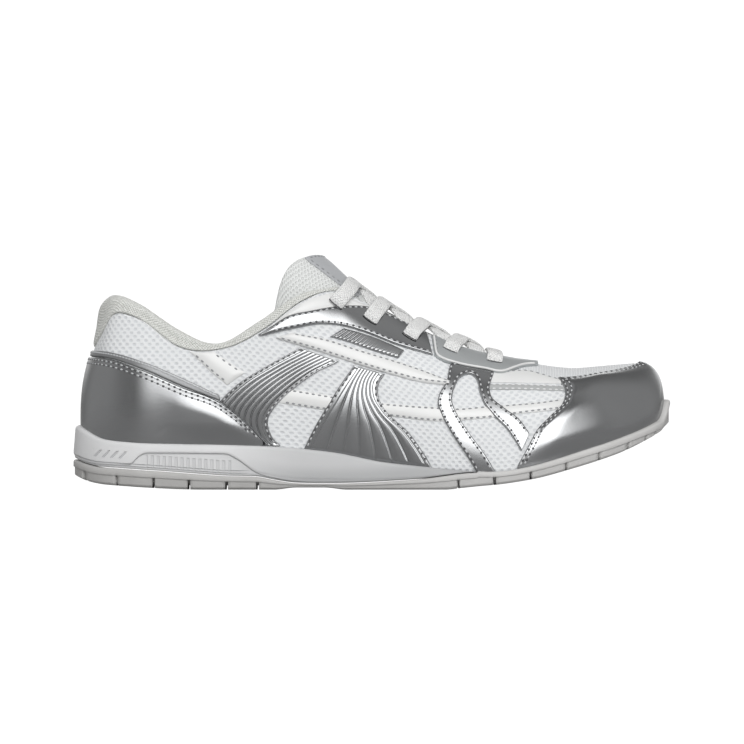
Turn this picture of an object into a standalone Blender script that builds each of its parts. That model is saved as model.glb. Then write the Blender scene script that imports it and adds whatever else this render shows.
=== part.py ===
"""A slip-on sneaker for the right foot: sole, hollow upper, tongue, padded cuff, overlays and elastic lacing.

X runs from heel to toe, -Y is the outer side of the foot, +Y the inner side, and the sole stands on Z = 0.
"""

import math
from typing import NamedTuple

import bmesh
import bpy
import numpy as np

MM = 0.001

# Driving sizes
LENGTH = 262 * MM
BALL_WIDTH = 86 * MM
HEEL_HEIGHT = 85 * MM
INSTEP_HEIGHT = 86.5 * MM

# The last that the tables below are drawn for, in millimetres
DRAWN_LENGTH = 262
DRAWN_BALL_WIDTH = 86
DRAWN_HEEL_HEIGHT = 85
DRAWN_INSTEP_HEIGHT = 86.5

# Walls and clearances
FIT_GAP = 0.3 * MM
UPPER_WALL = 2.0 * MM
UPPER_TUCK = 1.0 * MM
TONGUE_PADDING = 3.6 * MM
INSOLE_THICKNESS = 3.4 * MM
INSOLE_INSET = 3.8 * MM
OVERLAY_LIFT = 0.45 * MM
OVERLAY_THICKNESS = 0.9 * MM
RIM_CLEARANCE = 0.45 * MM

# Sole sizes
RIM_TOP_OUT = 1.9 * MM
RIM_SHOULDER_OUT = 2.7 * MM
RIM_SHOULDER_DROP = 1.0 * MM
PANEL_DEPTH = 0.9 * MM
MIDSOLE_FRONT = 168 * MM
RAND_WIDTH = 2.8 * MM
RAND_STEP = 0.6 * MM
RAND_SHARE = 0.42
EDGE_BEVEL = 0.7 * MM
LUG_BEVEL = 1.6 * MM
GROOVE_WIDTH = 2.2 * MM
GROOVE_LEFT = 0.35 * MM
GROOVE_WALL = 0.06 * MM
BUMPER_RISE = 6.6 * MM
BUMPER_HALF_SPAN = 0.045
BUMPER_SLOPE = 0.6
HEEL_GROOVES_MM = (19, 35.5, 51, 67.5)
FOREFOOT_GROOVES_MM = (184, 200.5, 216, 230.5, 243)

# How finely the forms are divided
UPPER_COLUMNS = 34
UPPER_ROWS = 8
MIDSOLE_STATIONS = 30
OUTSOLE_STATIONS = 36
INSOLE_STATIONS = 30
TONGUE_ROWS = 12
TONGUE_COLUMNS = 12
COUNTER_GRID = (12, 4)
TRIM_GRID = (11, 1)
CAP_GRID = (11, 6)

OUTER = -1
INNER = 1


class Section(NamedTuple):
    """One section of the upper, from where it meets the sole to its top edge."""

    name: str
    along: float
    outer: float
    inner: float
    seam: float
    flare: float
    top_along: float
    ridge: float
    gap: float
    top: float
    low_swell: float
    low_reach: float
    high_swell: float
    high_reach: float


# along, outer, inner and seam place the sole line; top_along, ridge, gap and top place the top edge
SECTIONS = (
    Section("heel back", 4.4, 0, 0, 28.5, 4.4, 9.4, 0, 0, 62.5, 0.3, 0.45, 3.8, 0.35),
    Section("heel turn", 6.9, 12, 12, 26.4, 4.2, 12.4, 0, 10.5, 67.5, 0.5, 0.45, 3.6, 0.35),
    Section("heel corner", 14, 21.6, 21.6, 22.4, 3.8, 18, 0, 18.5, 76.5, 1.0, 0.42, 3.4, 0.35),
    Section("counter", 26, 27.6, 27.6, 20.7, 3.5, 28, 0, 24, 75, 1.6, 0.40, 3.2, 0.35),
    Section("ankle rear", 45, 30, 30, 20.0, 3.4, 46, 0, 29, 62.5, 2.0, 0.40, 2.0, 0.35),
    Section("ankle", 70, 30.5, 28.5, 19.5, 3.4, 66, 0, 31, 61.5, 2.2, 0.40, 1.5, 0.35),
    Section("ankle front", 95, 31, 25.5, 18.4, 3.4, 84, 0, 30.5, 70, 3.0, 0.40, 2.0, 0.35),
    Section("waist", 115, 32.5, 24.5, 16.2, 3.4, 101, 0, 27.5, 82.5, 3.5, 0.42, 5.0, 0.25),
    Section("throat top", 135, 35, 26, 12.3, 3.4, 116.5, 0, 21.5, 86.5, 3.5, 0.42, 8.0, 0.20),
    Section("instep", 155, 39, 31, 10.0, 3.4, 137, 0, 16.5, 77, 3.5, 0.45, 11.0, 0.15),
    Section("instep front", 172, 42, 37, 8.3, 3.4, 158, 0, 14, 67, 3.0, 0.45, 14.0, 0.10),
    Section("ball", 188, 43, 41.5, 8.0, 3.4, 179, 0.5, 11.5, 59.5, 2.5, 0.45, 17.0, 0.05),
    Section("throat front", 204, 41.6, 43, 11.2, 3.4, 195, 1.0, 8.6, 56.2, 2.0, 0.48, 19.0, 0.02),
    Section("throat end", 213, 39.7, 42.8, 13.9, 3.4, 202.5, 1.3, 5.6, 55.2, 1.8, 0.49, 20.5, 0.01),
    Section("vamp", 220, 37.5, 42, 16.2, 3.4, 206.5, 1.5, 0, 54.6, 1.5, 0.50, 23.0, 0),
    Section("toe box", 235, 31.5, 38.5, 21.2, 3.4, 219, 2.5, 0, 53.4, 1.2, 0.50, 22.0, 0),
    Section("toe corner", 247, 22.5, 31.5, 26.0, 3.5, 230, 4.2, 0, 54.2, 1.0, 0.50, 19.0, 0),
    Section("toe turn", 255, 9.5, 22.5, 30.2, 3.6, 239, 5.5, 0, 55.0, 0.8, 0.50, 14.0, 0),
    Section("toe tip", 258.3, -7, 7, 33.0, 3.7, 245.5, 6.5, 0, 55.5, 0.6, 0.50, 9.0, 0),
)
THROAT_END = 14


class SoleLine(NamedTuple):
    """Heights of the sole's layers at one place along the foot, at its side and at its middle."""

    along: float
    ground: float
    tread_top: float
    panel: float
    bed: float
    core: float


SOLE_LINES = (
    SoleLine(0, 5.6, 13.3, 14.6, 14.0, 13.3),
    SoleLine(4, 4.0, 11.6, 12.7, 14.0, 11.6),
    SoleLine(10, 2.6, 10.0, 11.1, 14.0, 10.0),
    SoleLine(18, 1.8, 9.3, 10.4, 14.0, 9.3),
    SoleLine(25, 1.3, 8.8, 10.6, 14.0, 8.8),
    SoleLine(29.5, 1.0, 8.5, 14.5, 14.0, 8.5),
    SoleLine(33, 0.8, 8.3, 15.7, 14.0, 8.3),
    SoleLine(58, 0, 6.5, 15.5, 14.0, 6.5),
    SoleLine(67, 0, 5.9, 15.3, 13.9, 5.9),
    SoleLine(72, 0, 5.8, 13.1, 13.8, 5.8),
    SoleLine(80.5, 0, 5.6, 7.2, 13.4, 5.6),
    SoleLine(88, 0, 4.2, 4.9, 13.0, 4.2),
    SoleLine(98, 0.9, 2.8, 3.4, 12.4, 2.8),
    SoleLine(110, 0.9, 2.6, 3.2, 11.4, 2.6),
    SoleLine(120, 0, 2.7, 3.2, 10.3, 2.7),
    SoleLine(140, 0, 3.7, 4.2, 8.4, 3.7),
    SoleLine(152, 0, 4.6, 5.1, 7.4, 4.5),
    SoleLine(162, 0, 5.9, 6.3, 6.9, 5.0),
    SoleLine(170, 0.7, 7.0, 7.3, 6.6, 5.4),
    SoleLine(178, 1.5, 7.6, 7.9, 6.4, 5.4),
    SoleLine(187, 2.3, 8.0, 8.3, 6.5, 5.5),
    SoleLine(196, 3.6, 9.2, 9.5, 7.6, 6.6),
    SoleLine(205, 5.3, 11.4, 11.7, 9.6, 8.6),
    SoleLine(213, 7.4, 13.9, 14.2, 12.0, 11.0),
    SoleLine(222, 10.0, 16.8, 17.1, 14.8, 13.8),
    SoleLine(231, 12.8, 19.9, 20.2, 17.8, 16.8),
    SoleLine(240, 15.9, 23.1, 23.4, 21.0, 20.0),
    SoleLine(248, 19.4, 26.4, 26.7, 24.2, 23.2),
    SoleLine(254, 22.4, 29.8, 30.1, 27.0, 26.0),
    SoleLine(258.5, 25.4, 33.0, 33.3, 29.2, 28.2),
    SoleLine(262, 28.6, 34.5, 34.8, 30.8, 29.8),
)


class TongueRow(NamedTuple):
    """The tongue at one place from its sewn end to its top."""

    along: float
    rise: float
    radius: float
    half_width: float


TONGUE_TABLE = (
    TongueRow(210.5, 50.6, 30, 11),
    TongueRow(196, 54.0, 29, 15),
    TongueRow(179, 59.0, 28, 18),
    TongueRow(158, 67.8, 27, 22),
    TongueRow(137, 78.6, 25, 27),
    TongueRow(128.5, 84.3, 23.5, 33),
    TongueRow(121.5, 91.0, 22.5, 46),
    TongueRow(113.5, 98.6, 22, 54),
    TongueRow(108.2, 102.9, 22, 54),
)
TONGUE_TURN = math.radians(86)


class CuffRow(NamedTuple):
    """The padded cuff's crest above one section of the upper."""

    along: float
    half: float
    rise: float
    padding: float


CUFF_TABLE = (
    CuffRow(15.5, 0, 85.0, 6.5),
    CuffRow(16.6, 9.5, 85.2, 6.5),
    CuffRow(21.0, 17.0, 84.6, 6.3),
    CuffRow(30.0, 22.5, 80.6, 6.0),
    CuffRow(47.0, 28.0, 69.6, 5.5),
    CuffRow(64.0, 31.0, 63.9, 5.0),
    CuffRow(82.0, 30.6, 73.8, 4.5),
    CuffRow(99.1, 27.6, 85.1, 3.4),
    CuffRow(115.7, 21.4, 88.8, 2.6),
)

# Lines on the upper as seen from the side, each point as (along, rise) in drawn millimetres
COUNTER_TOP = ((3.5, 58.6), (17, 56.9), (30.6, 52.1), (48, 44.6), (64.3, 38.1), (75, 29.9), (84, 20.8))
COUNTER_FRONT = 83.6
TRIM_LOW = ((3.5, 59.0), (17, 57.5), (30.6, 53.0), (48, 45.5), (66, 38.4))
TRIM_TOP = ((3.5, 61.4), (17, 60.0), (30.6, 56.0), (48, 48.8), (66, 40.4))
TRIM_FRONT = 66
CAP_TOP = ((208, 48.3), (219, 48.6), (229.6, 50.2), (240, 52.2), (245, 53.7), (248, 55.5), (250, 58))
CAP_REAR = (
    (194.2, 10.3), (199, 18.8), (203, 26.2), (208.4, 31.7),
    (213.7, 37.2), (215.2, 42.4), (213.7, 45.9), (212.1, 48.3),
)


class Ribbon(NamedTuple):
    """An overlay between two edges that run the same way along it."""

    name: str
    first: tuple
    second: tuple
    columns: int
    rows: int
    look: tuple


# Colours: base colour, roughness, metallic
RUBBER = ((0.74, 0.72, 0.68), 0.62, 0.0)
FOAM = ((0.90, 0.90, 0.89), 0.55, 0.0)
SOCK = ((0.86, 0.85, 0.82), 0.85, 0.0)
MESH_CLOTH = ((0.90, 0.91, 0.93), 0.80, 0.0)
KNIT = ((0.90, 0.89, 0.86), 0.88, 0.0)
FOIL = ((0.62, 0.63, 0.65), 0.28, 0.9)
SATIN = ((0.66, 0.67, 0.69), 0.40, 0.5)
WHITE_BAND = ((0.91, 0.91, 0.91), 0.42, 0.0)
ELASTIC = ((0.84, 0.84, 0.83), 0.75, 0.0)

RIBBONS = (
    Ribbon(
        "eyestay_rear",
        (
            (81.5, 67.6), (87, 71.2), (94, 75.6), (103.7, 77.9),
            (116.3, 79.8), (129.9, 79.0), (139, 75.2), (155, 67.4),
        ),
        ((82.5, 66.9), (97, 70.3), (108.5, 72.2), (117.7, 71.5), (126.4, 69.1), (142.2, 63.0), (156.6, 58.8)),
        11,
        2,
        FOIL,
    ),
    Ribbon(
        "eyestay_front",
        ((157.6, 66.0), (165, 62.6), (173, 60.0), (180, 58.3), (188, 57.0), (198, 55.7), (204, 55.0)),
        ((159.4, 57.6), (167.5, 54.0), (179.8, 51.6), (188, 50.3), (192.5, 51.8), (197.3, 53.4), (204, 54.0)),
        10,
        3,
        SATIN,
    ),
    Ribbon(
        "stripe_rear",
        ((85.9, 20.2), (77.4, 29.0), (66.6, 38.8), (73, 46.6), (84, 53.2), (98.9, 61.4)),
        ((90.5, 19.8), (87.5, 23.0), (85.9, 28.9), (87.9, 35.0), (95.4, 42.4), (105, 49.7), (116, 55.4)),
        11,
        3,
        FOIL,
    ),
    Ribbon(
        "stripe_middle",
        ((123.3, 53.6), (117.2, 45.5), (112.4, 37.6), (105.9, 26.7), (101.9, 18.8)),
        ((136.2, 49.9), (133.6, 45.5), (133.8, 39.8), (138.2, 32.8), (147, 24.5), (153, 16.4), (156.6, 10.8)),
        9,
        3,
        FOIL,
    ),
    Ribbon(
        "strap_rear_leg",
        (
            (167, 53.0), (162.7, 47.7), (160.1, 42.4), (159.7, 38.1),
            (161.8, 32.4), (166.9, 23.8), (172.6, 15.6), (176.3, 9.8),
        ),
        (
            (174.2, 50.6), (169.3, 47.2), (166.9, 42.9), (166.2, 38.9),
            (167.5, 34.6), (171.9, 27.6), (178, 18.8), (183, 9.6),
        ),
        10,
        1,
        FOIL,
    ),
    Ribbon(
        "strap_front_leg",
        ((175.2, 50.5), (176.7, 44.6), (178.5, 39.4), (182.8, 33.9), (189.4, 27.6), (193.3, 21.4), (195.6, 17.3)),
        ((183.3, 49.3), (182.4, 44.6), (182.8, 41.1), (187.2, 36.3), (192.9, 32.4), (196.8, 27.6), (199, 23.8)),
        9,
        1,
        FOIL,
    ),
    Ribbon(
        "stripe_short",
        ((119, 70.2), (128, 67.4), (134, 65.2), (144.6, 60.6)),
        ((113, 66.6), (121, 64.2), (129, 61.3), (142, 57.2)),
        6,
        1,
        FOIL,
    ),
    Ribbon(
        "band_instep",
        ((98.9, 67.8), (111, 65.5), (126.4, 60.5), (141.7, 55.6), (152, 52.0), (160, 48.4)),
        ((90.5, 66.0), (108, 60.4), (123.3, 55.1), (138.7, 50.5), (152, 47.0), (159, 45.6)),
        8,
        1,
        WHITE_BAND,
    ),
)


class LaceRow(NamedTuple):
    """One strand of cord: out of the eyestay, over the tongue's crown and in at the other edge."""

    exit_along: float
    exit_rise: float
    crown_along: float
    crown_rise: float
    end_along: float


# The first four are crossings of two strands, the last is a straight bar
LACE_TABLE = (
    LaceRow(116.5, 82.0, 125.0, 89.3, 128.2),
    LaceRow(131.2, 74.9, 138.6, 80.8, 145.2),
    LaceRow(148.7, 67.2, 155.8, 72.2, 162.6),
    LaceRow(166.2, 60.8, 171.6, 65.7, 176.0),
    LaceRow(184.2, 56.6, 184.0, 60.9, 184.2),
)
LACE_WIDTH = 6 * MM
LACE_THICKNESS = 1.5 * MM
LACE_LIFT = 0.4 * MM
LACE_STEPS = 8


class Curve:
    """A smooth curve through the rows of a table; a steady one never overshoots a row."""

    def __init__(self, knots, rows, steady):
        self.knots = np.asarray(knots, float)
        self.rows = np.asarray(rows, float)
        step = np.diff(self.knots)[:, None]
        slope = np.diff(self.rows, axis=0) / step
        before = slope[:-1]
        after = slope[1:]
        middle = (step[1:] * before + step[:-1] * after) / (step[1:] + step[:-1])
        if steady:
            limit = 3 * np.minimum(np.abs(before), np.abs(after))
            middle = np.where(before * after > 0, np.clip(middle, -limit, limit), 0)
        self.slopes = np.vstack([slope[:1], middle, slope[-1:]])

    def __call__(self, at):
        at = np.clip(np.asarray(at, float), self.knots[0], self.knots[-1])
        left = np.clip(np.searchsorted(self.knots, at, side="right") - 1, 0, len(self.knots) - 2)
        step = self.knots[left + 1] - self.knots[left]
        share = ((at - self.knots[left]) / step)[..., None]
        step = step[..., None]
        rise = share * share * (3 - 2 * share)
        start = share * (1 - share) ** 2 * step
        end = share * share * (share - 1) * step
        return (
            (1 - rise) * self.rows[left]
            + rise * self.rows[left + 1]
            + start * self.slopes[left]
            + end * self.slopes[left + 1]
        )


def along_foot(millimetres):
    return (millimetres / DRAWN_LENGTH - 0.5) * LENGTH


def across_foot(millimetres):
    return millimetres / DRAWN_BALL_WIDTH * BALL_WIDTH


def drawn_along(metres):
    return (metres / LENGTH + 0.5) * DRAWN_LENGTH


def top_height(millimetres, along):
    """A top edge's height: the back follows the heel's height and the rest the instep's."""
    front = np.clip(np.asarray(along, float) / SECTIONS[8].along, 0, 1)
    scale = (1 - front) * HEEL_HEIGHT / DRAWN_HEEL_HEIGHT + front * INSTEP_HEIGHT / DRAWN_INSTEP_HEIGHT
    return millimetres * scale


def section_row(section, side):
    """The numbers of one section on one side: sole line, top edge, flare, swells and reaches."""
    out = section.outer if side == OUTER else section.inner
    return (
        along_foot(section.along),
        across_foot(side * out),
        section.seam * MM,
        along_foot(section.top_along),
        across_foot(section.ridge + side * section.gap),
        float(top_height(section.top, section.along)),
        section.flare * MM,
        section.low_swell * MM,
        section.low_reach,
        section.high_swell * MM,
        section.high_reach,
    )


def station_knots():
    """Each section's share of the way round the sole line, from the heel's back to the toe's tip."""
    line = np.array([section_row(section, OUTER)[:2] for section in SECTIONS])
    steps = np.linalg.norm(np.diff(line, axis=0), axis=1)
    way = np.concatenate([[0], np.cumsum(steps)])
    return way / way[-1]


KNOTS = station_knots()


def side_curve(side):
    """The sections of one side as a curve that runs on around the heel and the toe into the other side."""
    rows = [section_row(section, side) for section in SECTIONS]
    before = section_row(SECTIONS[1], -side)
    after = section_row(SECTIONS[-2], -side)
    knots = np.concatenate([[-KNOTS[1]], KNOTS, [2 - KNOTS[-2]]])
    return Curve(knots, [before, *rows, after], steady=False)


SIDE_CURVES = {OUTER: side_curve(OUTER), INNER: side_curve(INNER)}
SOLE_CURVE = Curve(
    [along_foot(line.along) for line in SOLE_LINES],
    [[height * MM for height in line[1:]] for line in SOLE_LINES],
    steady=True,
)
THROAT_STATION = KNOTS[THROAT_END]


def plan_normal(side, station):
    """The direction that points out of the shoe in plan, square to the sole line."""
    step = 1e-4
    curve = SIDE_CURVES[side]
    run = curve(station + step)[..., :2] - curve(station - step)[..., :2]
    run /= np.linalg.norm(run, axis=-1, keepdims=True)
    normal = np.zeros(run.shape[:-1] + (3,))
    normal[..., 0] = -side * run[..., 1]
    normal[..., 1] = side * run[..., 0]
    return normal


def upright(height):
    """A vector straight up, as long as the height."""
    height = np.asarray(height, float)
    return np.stack([np.zeros_like(height), np.zeros_like(height), height], axis=-1)


def upper_point(side, station, share):
    """A point of the upper's outside: share 0 is on the sole line and 1 on the top edge."""
    station, share = np.broadcast_arrays(np.asarray(station, float), np.asarray(share, float))
    row = SIDE_CURVES[side](station)
    normal = plan_normal(side, station)
    foot = row[..., 0:3]
    top = row[..., 3:6].copy()
    closed = station >= THROAT_STATION
    middle = 0.5 * (SIDE_CURVES[OUTER](station)[..., 4] + SIDE_CURVES[INNER](station)[..., 4])
    top[..., 1] = np.where(closed, middle, top[..., 1])
    tall = top[..., 2] - foot[..., 2]
    low = foot + normal * row[..., 7:8] + upright(row[..., 8] * tall)
    high = top + normal * row[..., 9:10] - upright(row[..., 10] * tall)
    share = share[..., None]
    rest = 1 - share
    return rest**3 * foot + 3 * rest**2 * share * low + 3 * rest * share**2 * high + share**3 * top


def sole_heights(points):
    """Ground, tread top, panel line, bed and core heights under or beside some points."""
    return SOLE_CURVE(points[..., 0])


def upper_foot(side, station):
    """The upper's lowest edge, tucked inside the sole's rim and standing on the bed."""
    line = SIDE_CURVES[side](station)[..., 0:3]
    edge = line - plan_normal(side, station) * UPPER_TUCK
    edge[..., 2] = sole_heights(edge)[..., 3] + FIT_GAP
    return edge


def upper_at_height(side, station, height):
    """The point of the upper's outside at one height, low on its wall."""
    shares = np.linspace(0, 0.6, 31)
    points = upper_point(side, np.full_like(shares, station), shares)
    share = np.interp(height, points[:, 2], shares)
    return upper_point(side, station, share)


def rim_height(side, station):
    """The height of the sole's rim, which is the sole line plus the bumper at the toe's tip."""
    seam = SIDE_CURVES[side](station)[..., 2]
    near_tip = np.clip((station - 1 + BUMPER_HALF_SPAN) / (BUMPER_SLOPE * BUMPER_HALF_SPAN), 0, 1)
    return seam + BUMPER_RISE * near_tip * near_tip * (3 - 2 * near_tip)


def material(name, look):
    colour, roughness, metallic = look
    paint = bpy.data.materials.new(name)
    paint.use_nodes = True
    shader = paint.node_tree.nodes["Principled BSDF"]
    shader.inputs["Base Color"].default_value = (*colour, 1)
    shader.inputs["Roughness"].default_value = roughness
    shader.inputs["Metallic"].default_value = metallic
    return paint


def add_object(name, bm, look):
    bmesh.ops.recalc_face_normals(bm, faces=bm.faces)
    for face in bm.faces:
        face.smooth = True
    mesh = bpy.data.meshes.new(name)
    bm.to_mesh(mesh)
    bm.free()
    mesh.materials.append(material(name, look))
    piece = bpy.data.objects.new(name, mesh)
    bpy.context.scene.collection.objects.link(piece)
    return piece


def add_strip(bm, points, closed):
    """Faces over a table of points; a closed one also joins the last column to the first."""
    corners = [[bm.verts.new(point) for point in row] for row in points]
    columns = len(corners[0])
    last = columns if closed else columns - 1
    for row, following in zip(corners, corners[1:]):
        for column in range(last):
            beside = (column + 1) % columns
            bm.faces.new((row[column], row[beside], following[beside], following[column]))


def tidy_mesh(bm):
    """Joins corners that fall on one place and drops the faces that this leaves without an area."""
    bmesh.ops.remove_doubles(bm, verts=bm.verts, dist=0.01 * MM)
    bmesh.ops.dissolve_degenerate(bm, edges=bm.edges, dist=0.005 * MM)


def ring_solid(name, rings, look):
    """A solid through closed rings whose first and last ring fold flat or are capped."""
    bm = bmesh.new()
    add_strip(bm, rings, closed=True)
    tidy_mesh(bm)
    open_edges = [edge for edge in bm.edges if edge.is_boundary]
    bmesh.ops.holes_fill(bm, edges=open_edges, sides=0)
    bmesh.ops.triangulate(bm, faces=bm.faces)
    return add_object(name, bm, look)


def give_wall(piece, thickness):
    """A wall inwards from the modelled face."""
    wall = piece.modifiers.new("wall", "SOLIDIFY")
    wall.thickness = thickness
    wall.offset = -1
    wall.use_even_offset = False
    return piece


def upper_stations():
    """Stations of the upper, with one on the throat's front end."""
    behind = round(UPPER_COLUMNS * THROAT_STATION)
    rear = np.linspace(0, THROAT_STATION, behind + 1)
    front = np.linspace(THROAT_STATION, 1, UPPER_COLUMNS - behind + 1)
    return np.concatenate([rear, front[1:]])


def upper_side(side):
    """Rows of the upper on one side, from the tucked edge to the top edge."""
    stations = upper_stations()
    shares = np.linspace(0, 1, UPPER_ROWS + 1)
    rows = [upper_foot(side, stations)]
    for share in shares:
        rows.append(upper_point(side, stations, share))
    return rows


def build_upper():
    bm = bmesh.new()
    for side in (OUTER, INNER):
        add_strip(bm, upper_side(side), closed=False)
    tidy_mesh(bm)
    return give_wall(add_object("upper", bm, MESH_CLOTH), UPPER_WALL)


def station_at(along):
    """The station whose section lies at a place along the foot."""
    low = 0.0
    high = 1.0
    for _ in range(40):
        middle = 0.5 * (low + high)
        if SIDE_CURVES[OUTER](middle)[0] < along:
            low = middle
        else:
            high = middle
    return 0.5 * (low + high)


def at_height(points, height):
    moved = points.copy()
    moved[..., 2] = height
    return moved


def midsole_side(side, station):
    """One side of the midsole's ring: under the tread line, up the side, over the rim and down to the bed."""
    row = SIDE_CURVES[side](station)
    normal = plan_normal(side, station)
    line = row[0:3]
    flare = row[6]
    outside = line + normal * flare
    _, tread, panel, _, core = sole_heights(outside)
    rim = rim_height(side, station)
    base = tread + FIT_GAP
    tall = rim - base
    step_low = np.clip(panel, base + 0.10 * tall, base + 0.70 * tall)
    step_high = step_low + 0.06 * tall
    depth = PANEL_DEPTH * np.clip((panel - tread) / (2 * MM), 0, 1)
    foot = upper_foot(side, station)
    bed = foot[2] - FIT_GAP
    shoulder = max(rim - RIM_SHOULDER_DROP, step_high + 0.4 * (rim - step_high))
    inner_base = outside - normal * (RAND_WIDTH + FIT_GAP)
    return [
        at_height(inner_base, min(core + FIT_GAP, base)),
        at_height(inner_base + normal * FIT_GAP, base),
        at_height(outside - normal * (depth + EDGE_BEVEL), base),
        at_height(outside - normal * depth, base + 0.05 * tall),
        at_height(outside - normal * depth, step_low),
        at_height(outside, step_high),
        at_height(line + normal * max(RIM_SHOULDER_OUT, 0.8 * flare), shoulder),
        at_height(line + normal * RIM_TOP_OUT, rim),
        at_height(line + normal * FIT_GAP, rim - 0.2 * MM),
        at_height(foot + normal * (FIT_GAP + 0.1 * MM), bed),
    ]


def build_midsole():
    last = station_at(along_foot((MIDSOLE_FRONT - FIT_GAP) / MM))
    rings = []
    for station in np.linspace(0, last, MIDSOLE_STATIONS):
        outer = midsole_side(OUTER, station)
        inner = midsole_side(INNER, station)
        rings.append([*outer, *reversed(inner)])
    return ring_solid("midsole", rings, FOAM)


def outsole_side(side, station, grooved):
    """One side of the outsole's ring: from the middle of its ground out, up the side and in over the top."""
    row = SIDE_CURVES[side](station)
    normal = plan_normal(side, station)
    line = row[0:3]
    outside = line + normal * row[6]
    ground, tread, _, _, core = sole_heights(outside)
    carries_rim = drawn_along(line[0]) * MM > MIDSOLE_FRONT
    top = rim_height(side, station) if carries_rim else tread
    rand = top - RAND_SHARE * (tread - ground)
    if grooved:
        ground = max(ground, rand - GROOVE_LEFT)
    bevel = min(0.3 * (rand - ground), 1.0 * MM)
    foot = upper_foot(side, station)
    if carries_rim:
        lip = upper_at_height(side, station, top) + normal * 1.2 * FIT_GAP
        neck = line + normal * FIT_GAP
        neck_height = line[2] - 0.3 * MM
        floor = foot + normal * (FIT_GAP + 0.05 * MM)
        floor_height = foot[2] - FIT_GAP
    else:
        lip = outside - normal * RAND_WIDTH
        neck = lip - normal * 0.1 * MM
        neck_height = min(core, tread - 0.05 * MM)
        floor = neck - normal * 0.1 * MM
        floor_height = neck_height
    inset = outside - normal * RAND_STEP
    return [
        at_height(inset - normal * LUG_BEVEL, ground),
        at_height(inset, ground + bevel),
        at_height(inset, rand),
        at_height(outside, rand + 0.1 * MM),
        at_height(outside, top - EDGE_BEVEL),
        at_height(outside - normal * EDGE_BEVEL, top),
        at_height(lip, top - 0.02 * MM),
        at_height(neck, neck_height),
        at_height(floor, floor_height),
    ]


def outsole_stations():
    """Stations of the outsole as (station, grooved), with a close pair at each groove's two walls."""
    stations = [(station, False) for station in np.linspace(0, 1, OUTSOLE_STATIONS)]
    front = station_at(along_foot(MIDSOLE_FRONT / MM))
    stations = [entry for entry in stations if abs(entry[0] - front) > 0.008]
    stations += [(front - 0.0001, False), (front + 0.0015, False)]
    for middle in HEEL_GROOVES_MM + FOREFOOT_GROOVES_MM:
        centre = along_foot(middle)
        start = station_at(centre - GROOVE_WIDTH / 2)
        end = station_at(centre + GROOVE_WIDTH / 2)
        start_in = station_at(centre - GROOVE_WIDTH / 2 + GROOVE_WALL)
        end_in = station_at(centre + GROOVE_WIDTH / 2 - GROOVE_WALL)
        margin = 0.004
        stations = [entry for entry in stations if not start - margin < entry[0] < end + margin]
        stations += [(start, False), (start_in, True), (end_in, True), (end, False)]
    return sorted(stations)


def build_outsole():
    rings = []
    for station, grooved in outsole_stations():
        outer = outsole_side(OUTER, station, grooved)
        inner = outsole_side(INNER, station, grooved)
        rings.append([*outer, *reversed(inner)])
    return ring_solid("outsole", rings, RUBBER)


def insole_side(side, station):
    """One side of the insole's ring: its lower edge, its upper edge and a point over the dished bed."""
    line = SIDE_CURVES[side](station)[0:3]
    normal = plan_normal(side, station)
    edge = line - normal * INSOLE_INSET
    bed = sole_heights(edge)[3]
    return [
        at_height(edge, bed + FIT_GAP),
        at_height(edge, bed + 0.7 * INSOLE_THICKNESS),
        at_height(edge - normal * 1.2 * MM, bed + INSOLE_THICKNESS),
    ]


def build_insole():
    rings = []
    for station in np.linspace(0, 1, INSOLE_STATIONS):
        outer = insole_side(OUTER, station)
        inner = insole_side(INNER, station)
        rings.append([*outer, *reversed(inner)])
    return ring_solid("insole", rings, SOCK)


TONGUE_CURVE = Curve(
    np.linspace(0, 1, len(TONGUE_TABLE)),
    [
        (
            along_foot(row.along),
            row.rise * INSTEP_HEIGHT / DRAWN_INSTEP_HEIGHT,
            across_foot(row.radius),
            across_foot(row.half_width),
        )
        for row in TONGUE_TABLE
    ],
    steady=False,
)


def tongue_point(way, across):
    """A point of the tongue's outside: way 0 is the sewn end and 1 the top, across runs from -1 to 1."""
    step = 1e-3
    along, rise, radius, half_width = TONGUE_CURVE(way)
    run = TONGUE_CURVE(min(way + step, 1)) - TONGUE_CURVE(max(way - step, 0))
    run = run[:2] / np.linalg.norm(run[:2])
    inward = np.array([-run[1], run[0]])
    length = abs(across) * half_width
    turn = min(length / radius, TONGUE_TURN)
    leg = max(length - radius * TONGUE_TURN, 0)
    side = radius * math.sin(turn) + leg * math.cos(TONGUE_TURN)
    drop = radius * (1 - math.cos(turn)) + leg * math.sin(TONGUE_TURN)
    middle = across_foot(SECTIONS[THROAT_END].ridge) * max(1 - 2 * way, 0)
    return (along + inward[0] * drop, middle + math.copysign(side, across), rise + inward[1] * drop)


def build_tongue():
    rows = []
    for way in np.linspace(0, 1, TONGUE_ROWS + 1):
        rows.append([tongue_point(way, across) for across in np.linspace(-1, 1, TONGUE_COLUMNS + 1)])
    bm = bmesh.new()
    add_strip(bm, rows, closed=False)
    return give_wall(add_object("tongue", bm, MESH_CLOTH), TONGUE_PADDING)


def cuff_curve(side):
    """The crest and padding of one side's half of the cuff, running on around the heel."""
    rows = []
    for row in CUFF_TABLE:
        height = top_height(row.rise, row.along)
        rows.append((along_foot(row.along), across_foot(side * row.half), height, row.padding * MM))
    before = (rows[1][0], -rows[1][1], *rows[1][2:])
    knots = KNOTS[: len(CUFF_TABLE)]
    return Curve([-knots[1], *knots], [before, *rows], steady=False)


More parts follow.
